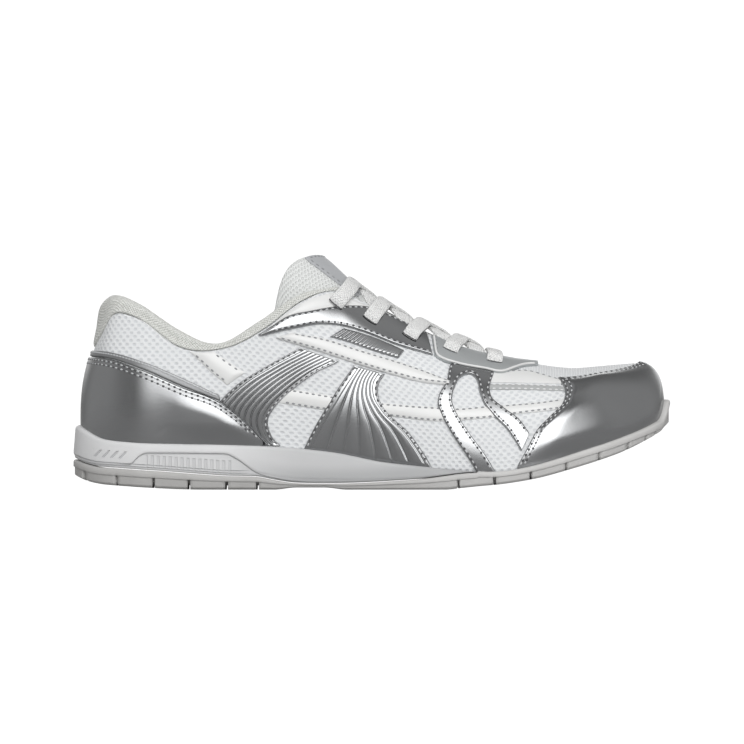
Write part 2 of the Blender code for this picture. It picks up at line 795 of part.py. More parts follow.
def cuff_ring(side, curve, station):
    """The padded roll's section: it stands on the upper's top edge and swells to both sides."""
    edge = upper_point(side, station, 1)
    row = curve(station)
    crest = row[0:3]
    padding = row[3]
    normal = plan_normal(side, station)
    rise = crest - edge
    seat = edge + rise / np.linalg.norm(rise) * 1.2 * FIT_GAP
    lean = max(-np.dot(rise, normal), 0)
    return [
        seat + normal * 0.5 * MM,
        edge + 0.38 * rise + normal * (0.5 * MM + 0.20 * lean),
        edge + 0.80 * rise + normal * (0.4 * MM + 0.34 * lean),
        crest - normal * 0.25 * padding,
        edge + 0.80 * rise - normal * 0.85 * padding,
        edge + 0.38 * rise - normal * padding,
        seat - normal * 0.8 * padding,
    ]


def build_cuff():
    last = KNOTS[len(CUFF_TABLE) - 1]
    stations = [station for station in upper_stations() if station < last - 0.005]
    stations.append(last)
    curves = {side: cuff_curve(side) for side in (OUTER, INNER)}
    outer = [cuff_ring(OUTER, curves[OUTER], station) for station in reversed(stations)]
    inner = [cuff_ring(INNER, curves[INNER], station) for station in stations[1:]]
    return ring_solid("collar_cuff", [*outer, *inner], KNIT)


def height_on_upper(millimetres):
    return np.asarray(millimetres, float) * INSTEP_HEIGHT / DRAWN_INSTEP_HEIGHT


def upper_normal(side, station, share):
    """The direction that points out of the upper's surface."""
    step = 1e-4
    share = np.minimum(share, 1 - step)
    along = upper_point(side, station + step, share) - upper_point(side, station - step, share)
    up = upper_point(side, station, share + step) - upper_point(side, station, share - step)
    normal = -side * np.cross(along, up)
    return normal / np.linalg.norm(normal, axis=-1, keepdims=True)


def find_on_upper(side, along, rise):
    """Stations and shares of the upper's points that lie at some places in the side view."""
    step = 1e-4
    station = np.interp(along, SIDE_CURVES[side](KNOTS)[:, 0] - 0.004, KNOTS)
    share = np.full_like(station, 0.5)
    for _ in range(25):
        here = upper_point(side, station, share)
        by_station = (upper_point(side, station + step, share) - here) / step
        by_share = (upper_point(side, station, share + step) - here) / step
        miss_along = along - here[..., 0]
        miss_rise = rise - here[..., 2]
        area = by_station[..., 0] * by_share[..., 2] - by_share[..., 0] * by_station[..., 2]
        station_step = (miss_along * by_share[..., 2] - by_share[..., 0] * miss_rise) / area
        share_step = (by_station[..., 0] * miss_rise - miss_along * by_station[..., 2]) / area
        station = np.clip(station + np.clip(station_step, -0.03, 0.03), 0.002, 0.998)
        share = np.clip(share + np.clip(share_step, -0.15, 0.15), 0, 0.985)
    return station, share


def drawn_edge(points, count):
    """Places spaced evenly along a smooth line through a few drawn points, in metres."""
    places = np.array([(along_foot(along), height_on_upper(rise)) for along, rise in points])
    steps = np.linalg.norm(np.diff(places, axis=0), axis=1)
    way = np.concatenate([[0], np.cumsum(steps)])
    return Curve(way, places, steady=False)(np.linspace(0, way[-1], count))


def sheet_solid(name, low, high, look):
    """A thin solid between two tables of points with the same rows and columns."""
    columns = len(low[0])
    rings = []
    for column in range(columns):
        ring = [row[column] for row in low]
        ring += [row[column] for row in reversed(high)]
        rings.append(ring)
    return ring_solid(name, rings, look)


def lifted_rows(side, stations, shares):
    """The under and upper faces of an overlay on some rows of the upper."""
    low = []
    high = []
    for station, share in zip(stations, shares):
        point = upper_point(side, station, share)
        normal = upper_normal(side, station, share)
        low.append(point + normal * OVERLAY_LIFT)
        high.append(point + normal * (OVERLAY_LIFT + OVERLAY_THICKNESS))
    return low, high


def build_ribbon(ribbon, side):
    first = drawn_edge(ribbon.first, ribbon.columns + 1)
    second = drawn_edge(ribbon.second, ribbon.columns + 1)
    stations = []
    shares = []
    for part in np.linspace(0, 1, ribbon.rows + 1):
        places = first * (1 - part) + second * part
        station, share = find_on_upper(side, places[:, 0], places[:, 1])
        stations.append(station)
        shares.append(share)
    low, high = lifted_rows(side, stations, shares)
    suffix = "outer" if side == OUTER else "inner"
    return sheet_solid(f"{ribbon.name}_{suffix}", low, high, ribbon.look)


def drawn_line(points):
    """A line of the side view as height over length."""
    return Curve(
        [along_foot(along) for along, _ in points],
        [[height_on_upper(rise)] for _, rise in points],
        steady=False,
    )


def share_on_line(side, station, line):
    """Where a section of the upper crosses a line of the side view."""
    shares = np.linspace(0, 0.99, 80)
    points = upper_point(side, np.full_like(shares, station), shares)
    above = points[:, 2] - line(points[:, 0])[:, 0]
    return np.interp(0, above, shares)


def share_over_rim(side, station):
    """Where a section of the upper comes out above the sole's rim."""
    shares = np.linspace(0, 0.6, 61)
    points = upper_point(side, np.full_like(shares, station), shares)
    return np.interp(rim_height(side, station) + RIM_CLEARANCE, points[:, 2], shares)


def wrapped_rows(side, starts, centre, low_share, high_share, columns):
    """Stations and shares of a panel from its starting edge to the heel's or the toe's middle."""
    stations = []
    shares = []
    for part, start in zip(np.linspace(0, 1, len(starts)), starts):
        row = np.linspace(start, centre, columns + 1)
        low = np.array([low_share(side, station) for station in row])
        high = np.array([high_share(side, station) for station in row])
        stations.append(row)
        shares.append(low + part * (high - low))
    return stations, shares


def wrapped_panel(name, starts, centre, low_share, high_share, columns, look):
    """A panel that runs from one side round the heel or the toe to the other side."""
    outer = wrapped_rows(OUTER, starts[OUTER], centre, low_share, high_share, columns)
    inner = wrapped_rows(INNER, starts[INNER], centre, low_share, high_share, columns)
    outer_low, outer_high = lifted_rows(OUTER, *outer)
    inner_low, inner_high = lifted_rows(INNER, *inner)
    low = [[*a, *reversed(b[:-1])] for a, b in zip(outer_low, inner_low)]
    high = [[*a, *reversed(b[:-1])] for a, b in zip(outer_high, inner_high)]
    return sheet_solid(name, low, high, look)


def build_counter():
    top = drawn_line(COUNTER_TOP)
    start = station_at(along_foot(COUNTER_FRONT))
    columns, rows = COUNTER_GRID
    starts = {side: [start] * (rows + 1) for side in (OUTER, INNER)}
    return wrapped_panel(
        "heel_counter",
        starts,
        0,
        share_over_rim,
        lambda side, station: share_on_line(side, station, top),
        columns,
        FOIL,
    )


def build_trim():
    low = drawn_line(TRIM_LOW)
    top = drawn_line(TRIM_TOP)
    start = station_at(along_foot(TRIM_FRONT))
    columns, rows = TRIM_GRID
    starts = {side: [start] * (rows + 1) for side in (OUTER, INNER)}
    return wrapped_panel(
        "counter_trim",
        starts,
        0,
        lambda side, station: share_on_line(side, station, low),
        lambda side, station: share_on_line(side, station, top),
        columns,
        FOIL,
    )


def cap_starts(side, top, rows):
    """The stations of the toe cap's rear edge at even parts of its height."""
    places = drawn_edge(CAP_REAR, 40)
    stations, shares = find_on_upper(side, places[:, 0], places[:, 1])
    low = np.array([share_over_rim(side, station) for station in stations])
    high = np.array([share_on_line(side, station, top) for station in stations])
    parts = np.maximum.accumulate((shares - low) / (high - low))
    return np.interp(np.linspace(0, 1, rows + 1), parts, stations)


def build_cap():
    top = drawn_line(CAP_TOP)
    columns, rows = CAP_GRID
    starts = {side: cap_starts(side, top, rows) for side in (OUTER, INNER)}
    return wrapped_panel(
        "toe_cap",
        starts,
        1,
        share_over_rim,
        lambda side, station: share_on_line(side, station, top),
        columns,
        FOIL,
    )


def throat_edge(side, along):
    """A point on the throat's edge at a place along the foot, with the surface's normal there."""
    stations = np.linspace(KNOTS[8], THROAT_STATION, 60)
    edge = upper_point(side, stations, 1)
    station = np.interp(along, edge[:, 0], stations)
    return upper_point(side, station, 1), upper_normal(side, station, 0.98)


def lace_path(side, lace):
    """Places and normals of one strand: out of the eyestay, over the tongue and in at the other edge."""
    over_stay = OVERLAY_LIFT + OVERLAY_THICKNESS + LACE_LIFT + LACE_THICKNESS / 2
    begin = along_foot(lace.exit_along)
    finish = along_foot(lace.end_along)
    station, share = find_on_upper(side, np.array([begin]), height_on_upper([lace.exit_rise]))
    exit_normal = upper_normal(side, station, share)[0]
    exit_place = upper_point(side, station, share)[0] + exit_normal * over_stay
    near, near_normal = throat_edge(side, begin + 0.25 * (finish - begin))
    far, far_normal = throat_edge(-side, finish)
    middle = 0.5 * (near[1] + far[1])
    crown = np.array([along_foot(lace.crown_along), middle, height_on_upper(lace.crown_rise)])
    crown_normal = near_normal + far_normal
    return (
        [exit_place, near + near_normal * over_stay, crown, far + far_normal * over_stay],
        [exit_normal, near_normal, crown_normal / np.linalg.norm(crown_normal), far_normal],
    )


def strand(name, side, lace):
    """One flat strand of cord along its path."""
    places, normals = lace_path(side, lace)
    steps = np.linalg.norm(np.diff(places, axis=0), axis=1)
    way = np.concatenate([[0], np.cumsum(steps)])
    line = Curve(way, places, steady=False)
    turn = Curve(way, normals, steady=False)
    rings = []
    for at in np.linspace(0, way[-1], LACE_STEPS + 1):
        run = line(at + 1e-5) - line(at - 1e-5)
        run /= np.linalg.norm(run)
        wide = np.cross(run, turn(at))
        wide *= 0.5 * LACE_WIDTH / np.linalg.norm(wide)
        thick = np.cross(wide, run)
        thick *= 0.5 * LACE_THICKNESS / np.linalg.norm(thick)
        place = line(at)
        rings.append([place + wide - thick, place + wide + thick, place - wide + thick, place - wide - thick])
    return ring_solid(name, rings, ELASTIC)


def build_laces():
    """Four crossings, each of two strands joined where they cross, and the bar at the throat's front."""
    for number, lace in enumerate(LACE_TABLE[:-1], 1):
        crossing = strand(f"lace_crossing_{number}", OUTER, lace)
        other = strand(f"lace_strand_{number}", INNER, lace)
        other.hide_render = True
        other.display_type = "WIRE"
        join = crossing.modifiers.new("join", "BOOLEAN")
        join.operation = "UNION"
        join.object = other
    strand("lace_bar", OUTER, LACE_TABLE[-1])


def clear_scene():
    for piece in list(bpy.data.objects):
        bpy.data.objects.remove(piece, do_unlink=True)


def main():
    clear_scene()
    build_outsole()
    build_midsole()
    build_insole()
    build_upper()
    build_tongue()
    build_cuff()
    build_counter()
    build_trim()
    build_cap()
    for ribbon in RIBBONS:
        build_ribbon(ribbon, OUTER)
        build_ribbon(ribbon, INNER)
    build_laces()


main()
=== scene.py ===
"""The finished look of a right-foot slip-on sneaker.

A mesh upper with silver overlays, a padded cuff and tongue, elastic lacing and a sole in two parts.
X runs from heel to toe, -Y is the outer side of the foot, +Y the inner side, and the sole stands on Z = 0.
"""

import math
from functools import partial
from typing import NamedTuple

import bmesh
import bpy
import numpy as np
from mathutils import Matrix, Vector


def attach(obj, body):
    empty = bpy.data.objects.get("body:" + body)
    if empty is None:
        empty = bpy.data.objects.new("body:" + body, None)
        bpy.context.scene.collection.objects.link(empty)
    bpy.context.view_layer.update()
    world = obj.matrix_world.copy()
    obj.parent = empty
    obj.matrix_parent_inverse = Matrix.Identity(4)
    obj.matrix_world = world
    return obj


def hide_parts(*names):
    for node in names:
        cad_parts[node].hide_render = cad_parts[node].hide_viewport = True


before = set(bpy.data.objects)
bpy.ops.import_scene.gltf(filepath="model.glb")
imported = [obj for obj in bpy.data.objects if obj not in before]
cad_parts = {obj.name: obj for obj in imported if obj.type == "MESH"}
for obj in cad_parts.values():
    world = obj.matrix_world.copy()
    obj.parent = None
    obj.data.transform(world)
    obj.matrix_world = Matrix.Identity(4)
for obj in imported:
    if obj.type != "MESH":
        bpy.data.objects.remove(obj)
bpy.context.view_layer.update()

MM = 0.001
LENGTH_MM = 262
OUTER = -1
INNER = 1
SIDES = {"outer": OUTER, "inner": INNER}

# Walls and clearances, in metres
FIT_GAP = 0.3 * MM
CLOSE_GAP = 1.2 * FIT_GAP
UPPER_WALL = 2.0 * MM
UPPER_TUCK = 1.0 * MM
TONGUE_PADDING = 3.6 * MM
INSOLE_THICKNESS = 3.4 * MM
INSOLE_INSET = 3.8 * MM
RIM_CLEARANCE = 0.08 * MM
MERGE_DISTANCE = 0.002 * MM

# Sole sizes, in metres, and shares of a height or a width
RIM_TOP_OUT = 1.9 * MM
RIM_SHOULDER_OUT = 2.7 * MM
RIM_SHOULDER_DROP = 1.0 * MM
RIM_SHOULDER_SHARE = 0.4
RIM_SHOULDER_FLARE = 0.8
RIM_INSIDE_DROP = 0.2 * MM
PANEL_DEPTH = 0.9 * MM
PANEL_FADE = 2 * MM
PANEL_LOWEST = 0.10
PANEL_HIGHEST = 0.70
PANEL_STEP = 0.06
PANEL_FOOT = 0.05
BED_GAP = 0.1 * MM
MIDSOLE_FRONT = 177 * MM
MIDSOLE_ROUNDING = 0.5 * MM
MIDSOLE_RINGS = 170
RAND_WIDTH = 2.8 * MM
RAND_STEP = 0.6 * MM
RAND_LEDGE = 0.1 * MM
RAND_SHARE = 0.42
EDGE_BEVEL = 0.7 * MM
LUG_BEVEL = 1.6 * MM
GROUND_BEVEL = 1.0 * MM
GROUND_BEVEL_SHARE = 0.3
LIP_DROP = 0.02 * MM
NECK_DROP = 0.3 * MM
CORE_DROP = 0.05 * MM
CORE_STEP = 0.1 * MM
FLOOR_GAP = 0.05 * MM
OUTSOLE_ROUNDING = 0.3 * MM
OUTSOLE_RINGS = 220
FRONT_CLEARANCE = 0.004
FRONT_STEP = (-0.0001, 0.0015)
GROOVE_WIDTH = 1.3 * MM
GROOVE_DEPTH = 1.8 * MM
GROOVE_REACH = 4.5 * MM
GROOVE_LEFT = 0.35 * MM
GROOVE_WALL = 0.06 * MM
GROOVE_CLEARANCE = 0.0015
BUMPER_RISE = 6.6 * MM
BUMPER_HALF_SPAN = 0.06
BUMPER_SLOPE = 0.85
HEEL_GROOVES_MM = (4.5, 19, 35.5, 51, 67.5, 81)
FOREFOOT_GROOVES_MM = (168.4, 184.3, 200.3, 216, 230.5, 243.4, 251.4, 255.9)
INSOLE_EDGE = 0.7
INSOLE_SHOULDER = 1.2 * MM
INSOLE_ROUNDING = 0.5 * MM
INSOLE_RINGS = 120

# Heights of the sewn layers over the mesh, in millimetres
SEAT = 0.03
BAND_HEIGHT = 0.55
OVERLAY_HEIGHT = 1.35
STAY_HEIGHT = OVERLAY_HEIGHT + 0.5
STRIPE_HEIGHT = OVERLAY_HEIGHT - 0.2
TRIM_HEIGHT = OVERLAY_HEIGHT - 0.3
TUCKED_SHARE = 0.1
RELIEF_EDGE = (0.3, 1.4)
EDGE_ROLL = 0.45
BUTT_ROLL = 0.03

# Grid lines near a layer's border, in millimetres or as shares of a wrapped layer's half
ROLL_LINES = (0, 0.03, 0.1, 0.22, 0.45, 1.0)
SHORTEST_ROLLED = 4.0
NARROWEST_LAYER = 3.0
WRAPPED_ROLL = (0, 0.001, 0.003, 0.007, 0.012)

# Sewing, in millimetres
STITCH_PITCH = 2.7
ROPE_PITCH = 1.55
SEWING_TRIM = 2.0
ROOM_TO_SEW = 2.2
SAME_PLACE = 0.001
FEWEST_PLACES = 4
FEWEST_KEPT = 3

# Width, height and length of each thread's stitch and of the dark bead of painted shade in the hole between
# two stitches, in millimetres
STITCHES = {
    "silver": (0.75, 0.45, 1.35),
    "grey": (0.95, 0.45, 1.6),
    "pale": (0.75, 0.45, 1.6),
    "rope": (0.9, 0.55, 1.5),
}
NEEDLE_HOLE = (1.2, 0.2, 1.25)

# Places that are looked up on the upper for each layer, before the finer grid is laid between them
FOUND_LINES = 61
FOUND_PARTS = 9
FOUND_STATIONS = 121
LINE_SHARES = np.linspace(0, 0.99, 80)
RIM_SHARES = np.linspace(0, 0.6, 61)
LIP_SHARES = np.linspace(0, 0.6, 31)
THROAT_PLACES = 60
CAP_REAR_PLACES = 60
GROOVE_PLACES = 801

# The search for a place on the upper: rounds, longest strides and limits
SEARCH_ROUNDS = 16
SECTION_LEAN = 4 * MM
STATION_STRIDE = 0.03
STATION_LIMITS = (0.002, 0.998)
SHARE_STRIDE = 0.15
SHARE_LIMITS = (0, 0.988)
HALVINGS = 40

# Small steps along a surface and along a line, for directions
SURFACE_STEP = 1e-4
LINE_STEP = 1e-3
NEAR_TOP = 0.98


class Section(NamedTuple):
    """One section of the upper, from where it meets the sole to its top edge."""

    name: str
    along: float
    outer: float
    inner: float
    seam: float
    flare: float
    top_along: float
    ridge: float
    gap: float
    top: float
    low_swell: float
    low_reach: float
    high_swell: float
    high_reach: float


SECTIONS = (
    Section("heel back", 4.4, 0, 0, 28.5, 4.4, 9.4, 0, 0, 62.5, 0.3, 0.45, 3.8, 0.35),
    Section("heel turn", 6.9, 12, 12, 26.4, 4.2, 12.4, 0, 10.5, 67.5, 0.5, 0.45, 3.6, 0.35),
    Section("heel corner", 14, 21.6, 21.6, 22.4, 3.8, 18, 0, 18.5, 76.5, 1.0, 0.42, 3.4, 0.35),
    Section("counter", 26, 27.6, 27.6, 20.7, 3.5, 28, 0, 24, 75, 1.6, 0.40, 3.2, 0.35),
    Section("ankle rear", 45, 30, 30, 20.0, 3.4, 46, 0, 29, 62.5, 2.0, 0.40, 2.0, 0.35),
    Section("ankle", 70, 30.5, 28.5, 19.5, 3.4, 66, 0, 31, 61.5, 2.2, 0.40, 1.5, 0.35),
    Section("ankle front", 95, 31, 25.5, 18.4, 3.4, 84, 0, 30.5, 70, 3.0, 0.40, 2.0, 0.35),
    Section("waist", 115, 32.5, 24.5, 16.2, 3.4, 101, 0, 27.5, 82.5, 3.5, 0.42, 5.0, 0.25),
    Section("throat top", 135, 35, 26, 12.3, 3.4, 116.5, 0, 21.5, 86.5, 3.5, 0.42, 8.0, 0.20),
    Section("instep", 155, 39, 31, 10.0, 3.4, 137, 0, 16.5, 77, 3.5, 0.45, 11.0, 0.15),
    Section("instep front", 172, 42, 37, 8.3, 3.4, 158, 0, 14, 67, 3.0, 0.45, 14.0, 0.10),
    Section("ball", 188, 43, 41.5, 8.0, 3.4, 179, 0.5, 11.5, 59.5, 2.5, 0.45, 17.0, 0.05),
    Section("throat front", 204, 41.6, 43, 11.2, 3.4, 195, 1.0, 8.6, 56.2, 2.0, 0.48, 19.0, 0.02),
    Section("throat end", 213, 39.7, 42.8, 13.9, 3.4, 202.5, 1.3, 5.6, 55.2, 1.8, 0.49, 20.5, 0.01),
    Section("vamp", 220, 37.5, 42, 16.2, 3.4, 206.5, 1.5, 0, 54.6, 1.5, 0.50, 23.0, 0),
    Section("toe box", 235, 31.5, 38.5, 21.2, 3.4, 219, 2.5, 0, 53.4, 1.2, 0.50, 22.0, 0),
    Section("toe corner", 247, 22.5, 31.5, 26.0, 3.5, 230, 4.2, 0, 54.2, 1.0, 0.50, 19.0, 0),
    Section("toe turn", 255, 9.5, 22.5, 30.2, 3.6, 239, 5.5, 0, 55.0, 0.8, 0.50, 14.0, 0),
    Section("toe tip", 258.3, -7, 7, 33.0, 3.7, 245.5, 6.5, 0, 55.5, 0.6, 0.50, 9.0, 0),
)
THROAT_TOP = 8
THROAT_END = 14
HEEL_MIDDLE = 0
TOE_MIDDLE = 1


class SoleLine(NamedTuple):
    """Heights of the sole's layers at one place along the foot."""

    along: float
    ground: float
    tread_top: float
    panel: float
    bed: float
    core: float


SOLE_LINES = (
    SoleLine(0, 5.6, 13.3, 14.6, 14.0, 13.3),
    SoleLine(4, 4.0, 11.6, 12.7, 14.0, 11.6),
    SoleLine(10, 2.6, 10.0, 11.1, 14.0, 10.0),
    SoleLine(18, 1.8, 9.3, 10.4, 14.0, 9.3),
    SoleLine(25, 1.3, 8.8, 10.6, 14.0, 8.8),
    SoleLine(29.5, 1.0, 8.5, 14.5, 14.0, 8.5),
    SoleLine(33, 0.8, 8.3, 15.7, 14.0, 8.3),
    SoleLine(58, 0, 6.5, 15.5, 14.0, 6.5),
    SoleLine(67, 0, 5.9, 15.3, 13.9, 5.9),
    SoleLine(72, 0, 5.8, 13.1, 13.8, 5.8),
    SoleLine(80.5, 0, 5.6, 7.2, 13.4, 5.6),
    SoleLine(88, 0, 4.2, 4.9, 13.0, 4.2),
    SoleLine(98, 0.9, 2.8, 3.4, 12.4, 2.8),
    SoleLine(110, 0.9, 2.6, 3.2, 11.4, 2.6),
    SoleLine(120, 0, 2.7, 3.2, 10.3, 2.7),
    SoleLine(140, 0, 3.7, 4.2, 8.4, 3.7),
    SoleLine(152, 0, 4.6, 5.1, 7.4, 4.5),
    SoleLine(162, 0, 5.9, 6.3, 6.9, 5.0),
    SoleLine(170, 0.7, 7.0, 7.3, 6.6, 5.4),
    SoleLine(178, 1.5, 7.6, 7.9, 6.4, 5.4),
    SoleLine(187, 2.3, 8.0, 8.3, 6.5, 5.5),
    SoleLine(196, 3.6, 9.2, 9.5, 7.6, 6.6),
    SoleLine(205, 5.3, 11.4, 11.7, 9.6, 8.6),
    SoleLine(213, 7.4, 13.9, 14.2, 12.0, 11.0),
    SoleLine(222, 10.0, 16.8, 17.1, 14.8, 13.8),
    SoleLine(231, 12.8, 19.9, 20.2, 17.8, 16.8),
    SoleLine(240, 15.9, 23.1, 23.4, 21.0, 20.0),
    SoleLine(248, 19.4, 26.4, 26.7, 24.2, 23.2),
    SoleLine(254, 22.4, 29.8, 30.1, 27.0, 26.0),
    SoleLine(258.5, 25.4, 33.0, 33.3, 29.2, 28.2),
    SoleLine(262, 28.6, 34.5, 34.8, 30.8, 29.8),
)


class TongueRow(NamedTuple):
    """The tongue at one place from its sewn end to its top."""

    along: float
    rise: float
    radius: float
    half_width: float


TONGUE_TABLE = (
    TongueRow(210.5, 50.6, 30, 11),
    TongueRow(196, 54.0, 29, 15),
    TongueRow(179, 59.0, 28, 18),
    TongueRow(158, 67.8, 27, 22),
    TongueRow(137, 78.6, 25, 27),
    TongueRow(128.5, 84.3, 23.5, 33),
    TongueRow(121.5, 91.0, 22.5, 46),
    TongueRow(113.5, 98.6, 22, 54),
    TongueRow(108.2, 102.9, 22, 54),
)
TONGUE_TURN = math.radians(86)
TONGUE_BULGE = 7.0 * MM
TONGUE_BULGE_WAY = 0.7
TONGUE_BULGE_SPAN = 0.7
TONGUE_CORNER = 0.16
TONGUE_CORNER_WAY = 0.82
TONGUE_MIDDLE = 0.12
TONGUE_ROLL = 2.2
LABEL_START = 0.66
LABEL_LONG = 0.325
LABEL_HALF_WIDTH = 0.30
LABEL_HEIGHT = 0.7
LABEL_SEWING = 1.3


class CuffRow(NamedTuple):
    """The padded cuff's crest above one section of the upper."""

    along: float
    half: float
    rise: float
    padding: float


CUFF_TABLE = (
    CuffRow(15.5, 0, 85.0, 6.5),
    CuffRow(16.6, 9.5, 85.2, 6.5),
    CuffRow(21.0, 17.0, 84.6, 6.3),
    CuffRow(30.0, 22.5, 80.6, 6.0),
    CuffRow(47.0, 28.0, 69.6, 5.5),
    CuffRow(64.0, 31.0, 63.9, 5.0),
    CuffRow(82.0, 30.6, 73.8, 4.5),
    CuffRow(99.1, 27.6, 85.1, 3.4),
    CuffRow(115.7, 21.4, 88.8, 2.6),
)


class LaceRow(NamedTuple):
    """One strand of cord: out of the eyestay, over the tongue's crown and in at the other edge."""

    exit_along: float
    exit_rise: float
    crown_along: float
    crown_rise: float
    end_along: float


LACE_TABLE = (
    LaceRow(115.4, 81.2, 125.0, 89.3, 137.0),
    LaceRow(130.0, 74.0, 138.6, 80.8, 153.0),
    LaceRow(147.4, 66.4, 155.8, 72.2, 169.5),
    LaceRow(165.0, 60.1, 171.6, 65.7, 181.5),
    LaceRow(184.2, 55.0, 184.0, 60.9, 184.2),
)
LACE_WIDTH = 7 * MM
LACE_THICKNESS = 1.9 * MM
LACE_OVER_STAY = 2.5 * MM
LACE_UNDER_EDGE = 3.1 * MM
LACE_TUCK = 2.5 * MM
LACE_ARCH = 1.4 * MM
LACE_NEAR_SHARE = 0.4
LACE_DIP_BACK = 1.3 * MM
LACE_DIP_DOWN = 1.9 * MM
LACE_SQUARENESS = (0.6, 0.75)
LACE_TWIST = 0.9
LACE_OVER = 0.8 * MM
LACE_BELOW = -0.7 * MM
LACE_RINGS = 56
LACE_RING_POINTS = 25
SLOT_BACK = 1.4 * MM
SLOT_SIZES = (3.7 * MM, 0.75 * MM, 0.12 * MM)

# Lines on the upper as seen from the side, each point as (along, rise) in millimetres
COUNTER_TOP = ((3.5, 58.6), (17, 56.9), (30.6, 52.1), (48, 44.6), (64.3, 38.1), (75, 29.9), (84, 20.8))
COUNTER_FRONT = 83.6
TRIM_LOW = ((3.5, 58.8), (17, 57.2), (30.6, 52.6), (48, 45.1), (66, 38.2))
TRIM_TOP = ((3.5, 61.4), (17, 60.0), (30.6, 56.0), (48, 48.8), (66, 40.4))
TRIM_FRONT = 66
CAP_TOP = ((208, 48.3), (219, 48.6), (229.6, 50.2), (240, 52.2), (245, 53.7), (248, 55.5), (250, 58))
CAP_REAR = (
    (194.2, 10.3), (199, 18.8), (203, 26.2), (208.4, 31.7),
    (213.7, 37.2), (215.2, 42.4), (213.7, 45.9), (212.1, 48.3),
)

# The vamp in front of the throat, where the shell's two halves are eased into each other
RIDGE_FRONT = 207.5
RIDGE_HALF = 8 * MM
RIDGE_RISE = 50 * MM
RIDGE_PASSES = 10
RIDGE_FACTOR = 0.5

# Soft swells of the silver in millimetres, and the ways over which they rise
COUNTER_SWELL = 0.9
COUNTER_SWELL_ALONG = (36, 62)
COUNTER_SWELL_HIGH = (0.5, 9)
COUNTER_SWELL_LOW = (0, 10)
CAP_RIDGE = 0.9
CAP_RIDGE_INWARD = (0.5, 13)
CAP_RIDGE_LOW = (0, 12)
CAP_CHEEK = 1.5
CAP_CHEEK_ALONG = (246, 228)
CAP_CHEEK_LOW = (2, 30)
CAP_CHEEK_INWARD = (0.3, 4.5)
CAP_SWELL_HIGH = (0, 7)
CAP_SMOOTHING = 9.0
SMOOTHING_STEP = 0.5
SMOOTHING_SPAN = 3
SMOOTHING_PASSES = 2
FAN_SWELL = 0.6
FAN_SWELL_REACH = 26

# Creases in the counter, as (along, rise) to (along, rise), depth and half width in millimetres
COUNTER_CREASES = (
    (46.0, 22.2, 51.0, 27.6, 0.10, 0.55),
    (49.0, 21.4, 55.2, 28.2, 0.14, 0.60),
    (52.4, 20.8, 58.6, 27.6, 0.13, 0.55),
    (56.0, 20.6, 61.6, 26.6, 0.12, 0.55),
    (60.0, 20.6, 64.4, 25.2, 0.10, 0.50),
    (36.0, 23.0, 43.0, 29.0, 0.06, 1.20),
    (66.0, 20.4, 69.0, 23.6, 0.09, 0.50),
)


class Curve:
    """A smooth curve through the rows of a table; a steady one never overshoots a row."""

    def __init__(self, knots, rows, steady):
        self.knots = np.asarray(knots, float)
        self.rows = np.asarray(rows, float)
        step = np.diff(self.knots)[:, None]
        slope = np.diff(self.rows, axis=0) / step
        before = slope[:-1]
        after = slope[1:]
        middle = (step[1:] * before + step[:-1] * after) / (step[1:] + step[:-1])
        if steady:
            limit = 3 * np.minimum(np.abs(before), np.abs(after))
            middle = np.where(before * after > 0, np.clip(middle, -limit, limit), 0)
        self.slopes = np.vstack([slope[:1], middle, slope[-1:]])

    def __call__(self, at):
        at = np.clip(np.asarray(at, float), self.knots[0], self.knots[-1])
        left = np.clip(np.searchsorted(self.knots, at, side="right") - 1, 0, len(self.knots) - 2)
        step = self.knots[left + 1] - self.knots[left]
        share = ((at - self.knots[left]) / step)[..., None]
        step = step[..., None]
        rise = share * share * (3 - 2 * share)
        start = share * (1 - share) ** 2 * step
        end = share * share * (share - 1) * step
        return (
            (1 - rise) * self.rows[left]
            + rise * self.rows[left + 1]
            + start * self.slopes[left]
            + end * self.slopes[left + 1]
        )


def way_along(points):
    """The way travelled from the first of some points to each of them."""
    steps = np.linalg.norm(np.diff(points, axis=0), axis=1)
    return np.concatenate([[0], np.cumsum(steps)])


def curve_along(points):
    """A smooth curve through some points, by the way travelled between them, and its length."""
    points = np.asarray(points, float)
    way = way_along(points)
    return Curve(way / way[-1], points, steady=False), way[-1]


def between(table, knots, at):
    """The rows of a table at finer places."""
    return Curve(knots, table, steady=False)(at)


def along_foot(millimetres):
    """Metres from the shoe's middle for a place in millimetres from the heel."""
    return (np.asarray(millimetres, float) - LENGTH_MM / 2) * MM


def drawn_along(metres):
    """Millimetres from the heel for a place in metres from the shoe's middle."""
    return metres / MM + LENGTH_MM / 2


def unit(vectors):
    """The same directions with a length of 1."""
    return vectors / np.linalg.norm(vectors, axis=-1, keepdims=True)


def smooth_step(low, high, value):
    """Rises smoothly from 0 at low to 1 at high."""
    share = np.clip((value - low) / (high - low), 0, 1)
    return share * share * (3 - 2 * share)


# The upper's surface


# Places of a section's numbers in its row, and of the sole's heights in theirs
FOOT = slice(0, 3)
TOP = slice(3, 6)
FLARE, LOW_SWELL, LOW_REACH, HIGH_SWELL, HIGH_REACH = range(6, 11)
TREAD, PANEL, BED = range(1, 4)


def section_row(section, side):
    """The numbers of one section on one side: sole line, top edge, flare, swells and reaches."""
    out = section.outer if side == OUTER else section.inner
    return (
        along_foot(section.along),
        side * out * MM,
        section.seam * MM,
        along_foot(section.top_along),
        (section.ridge + side * section.gap) * MM,
        section.top * MM,
        section.flare * MM,
        section.low_swell * MM,
        section.low_reach,
        section.high_swell * MM,
        section.high_reach,
    )


def station_knots():
    """Each section's share of the way round the sole line, from the heel's back to the toe's tip."""
    way = way_along(np.array([section_row(section, OUTER)[:2] for section in SECTIONS]))
    return way / way[-1]


KNOTS = station_knots()


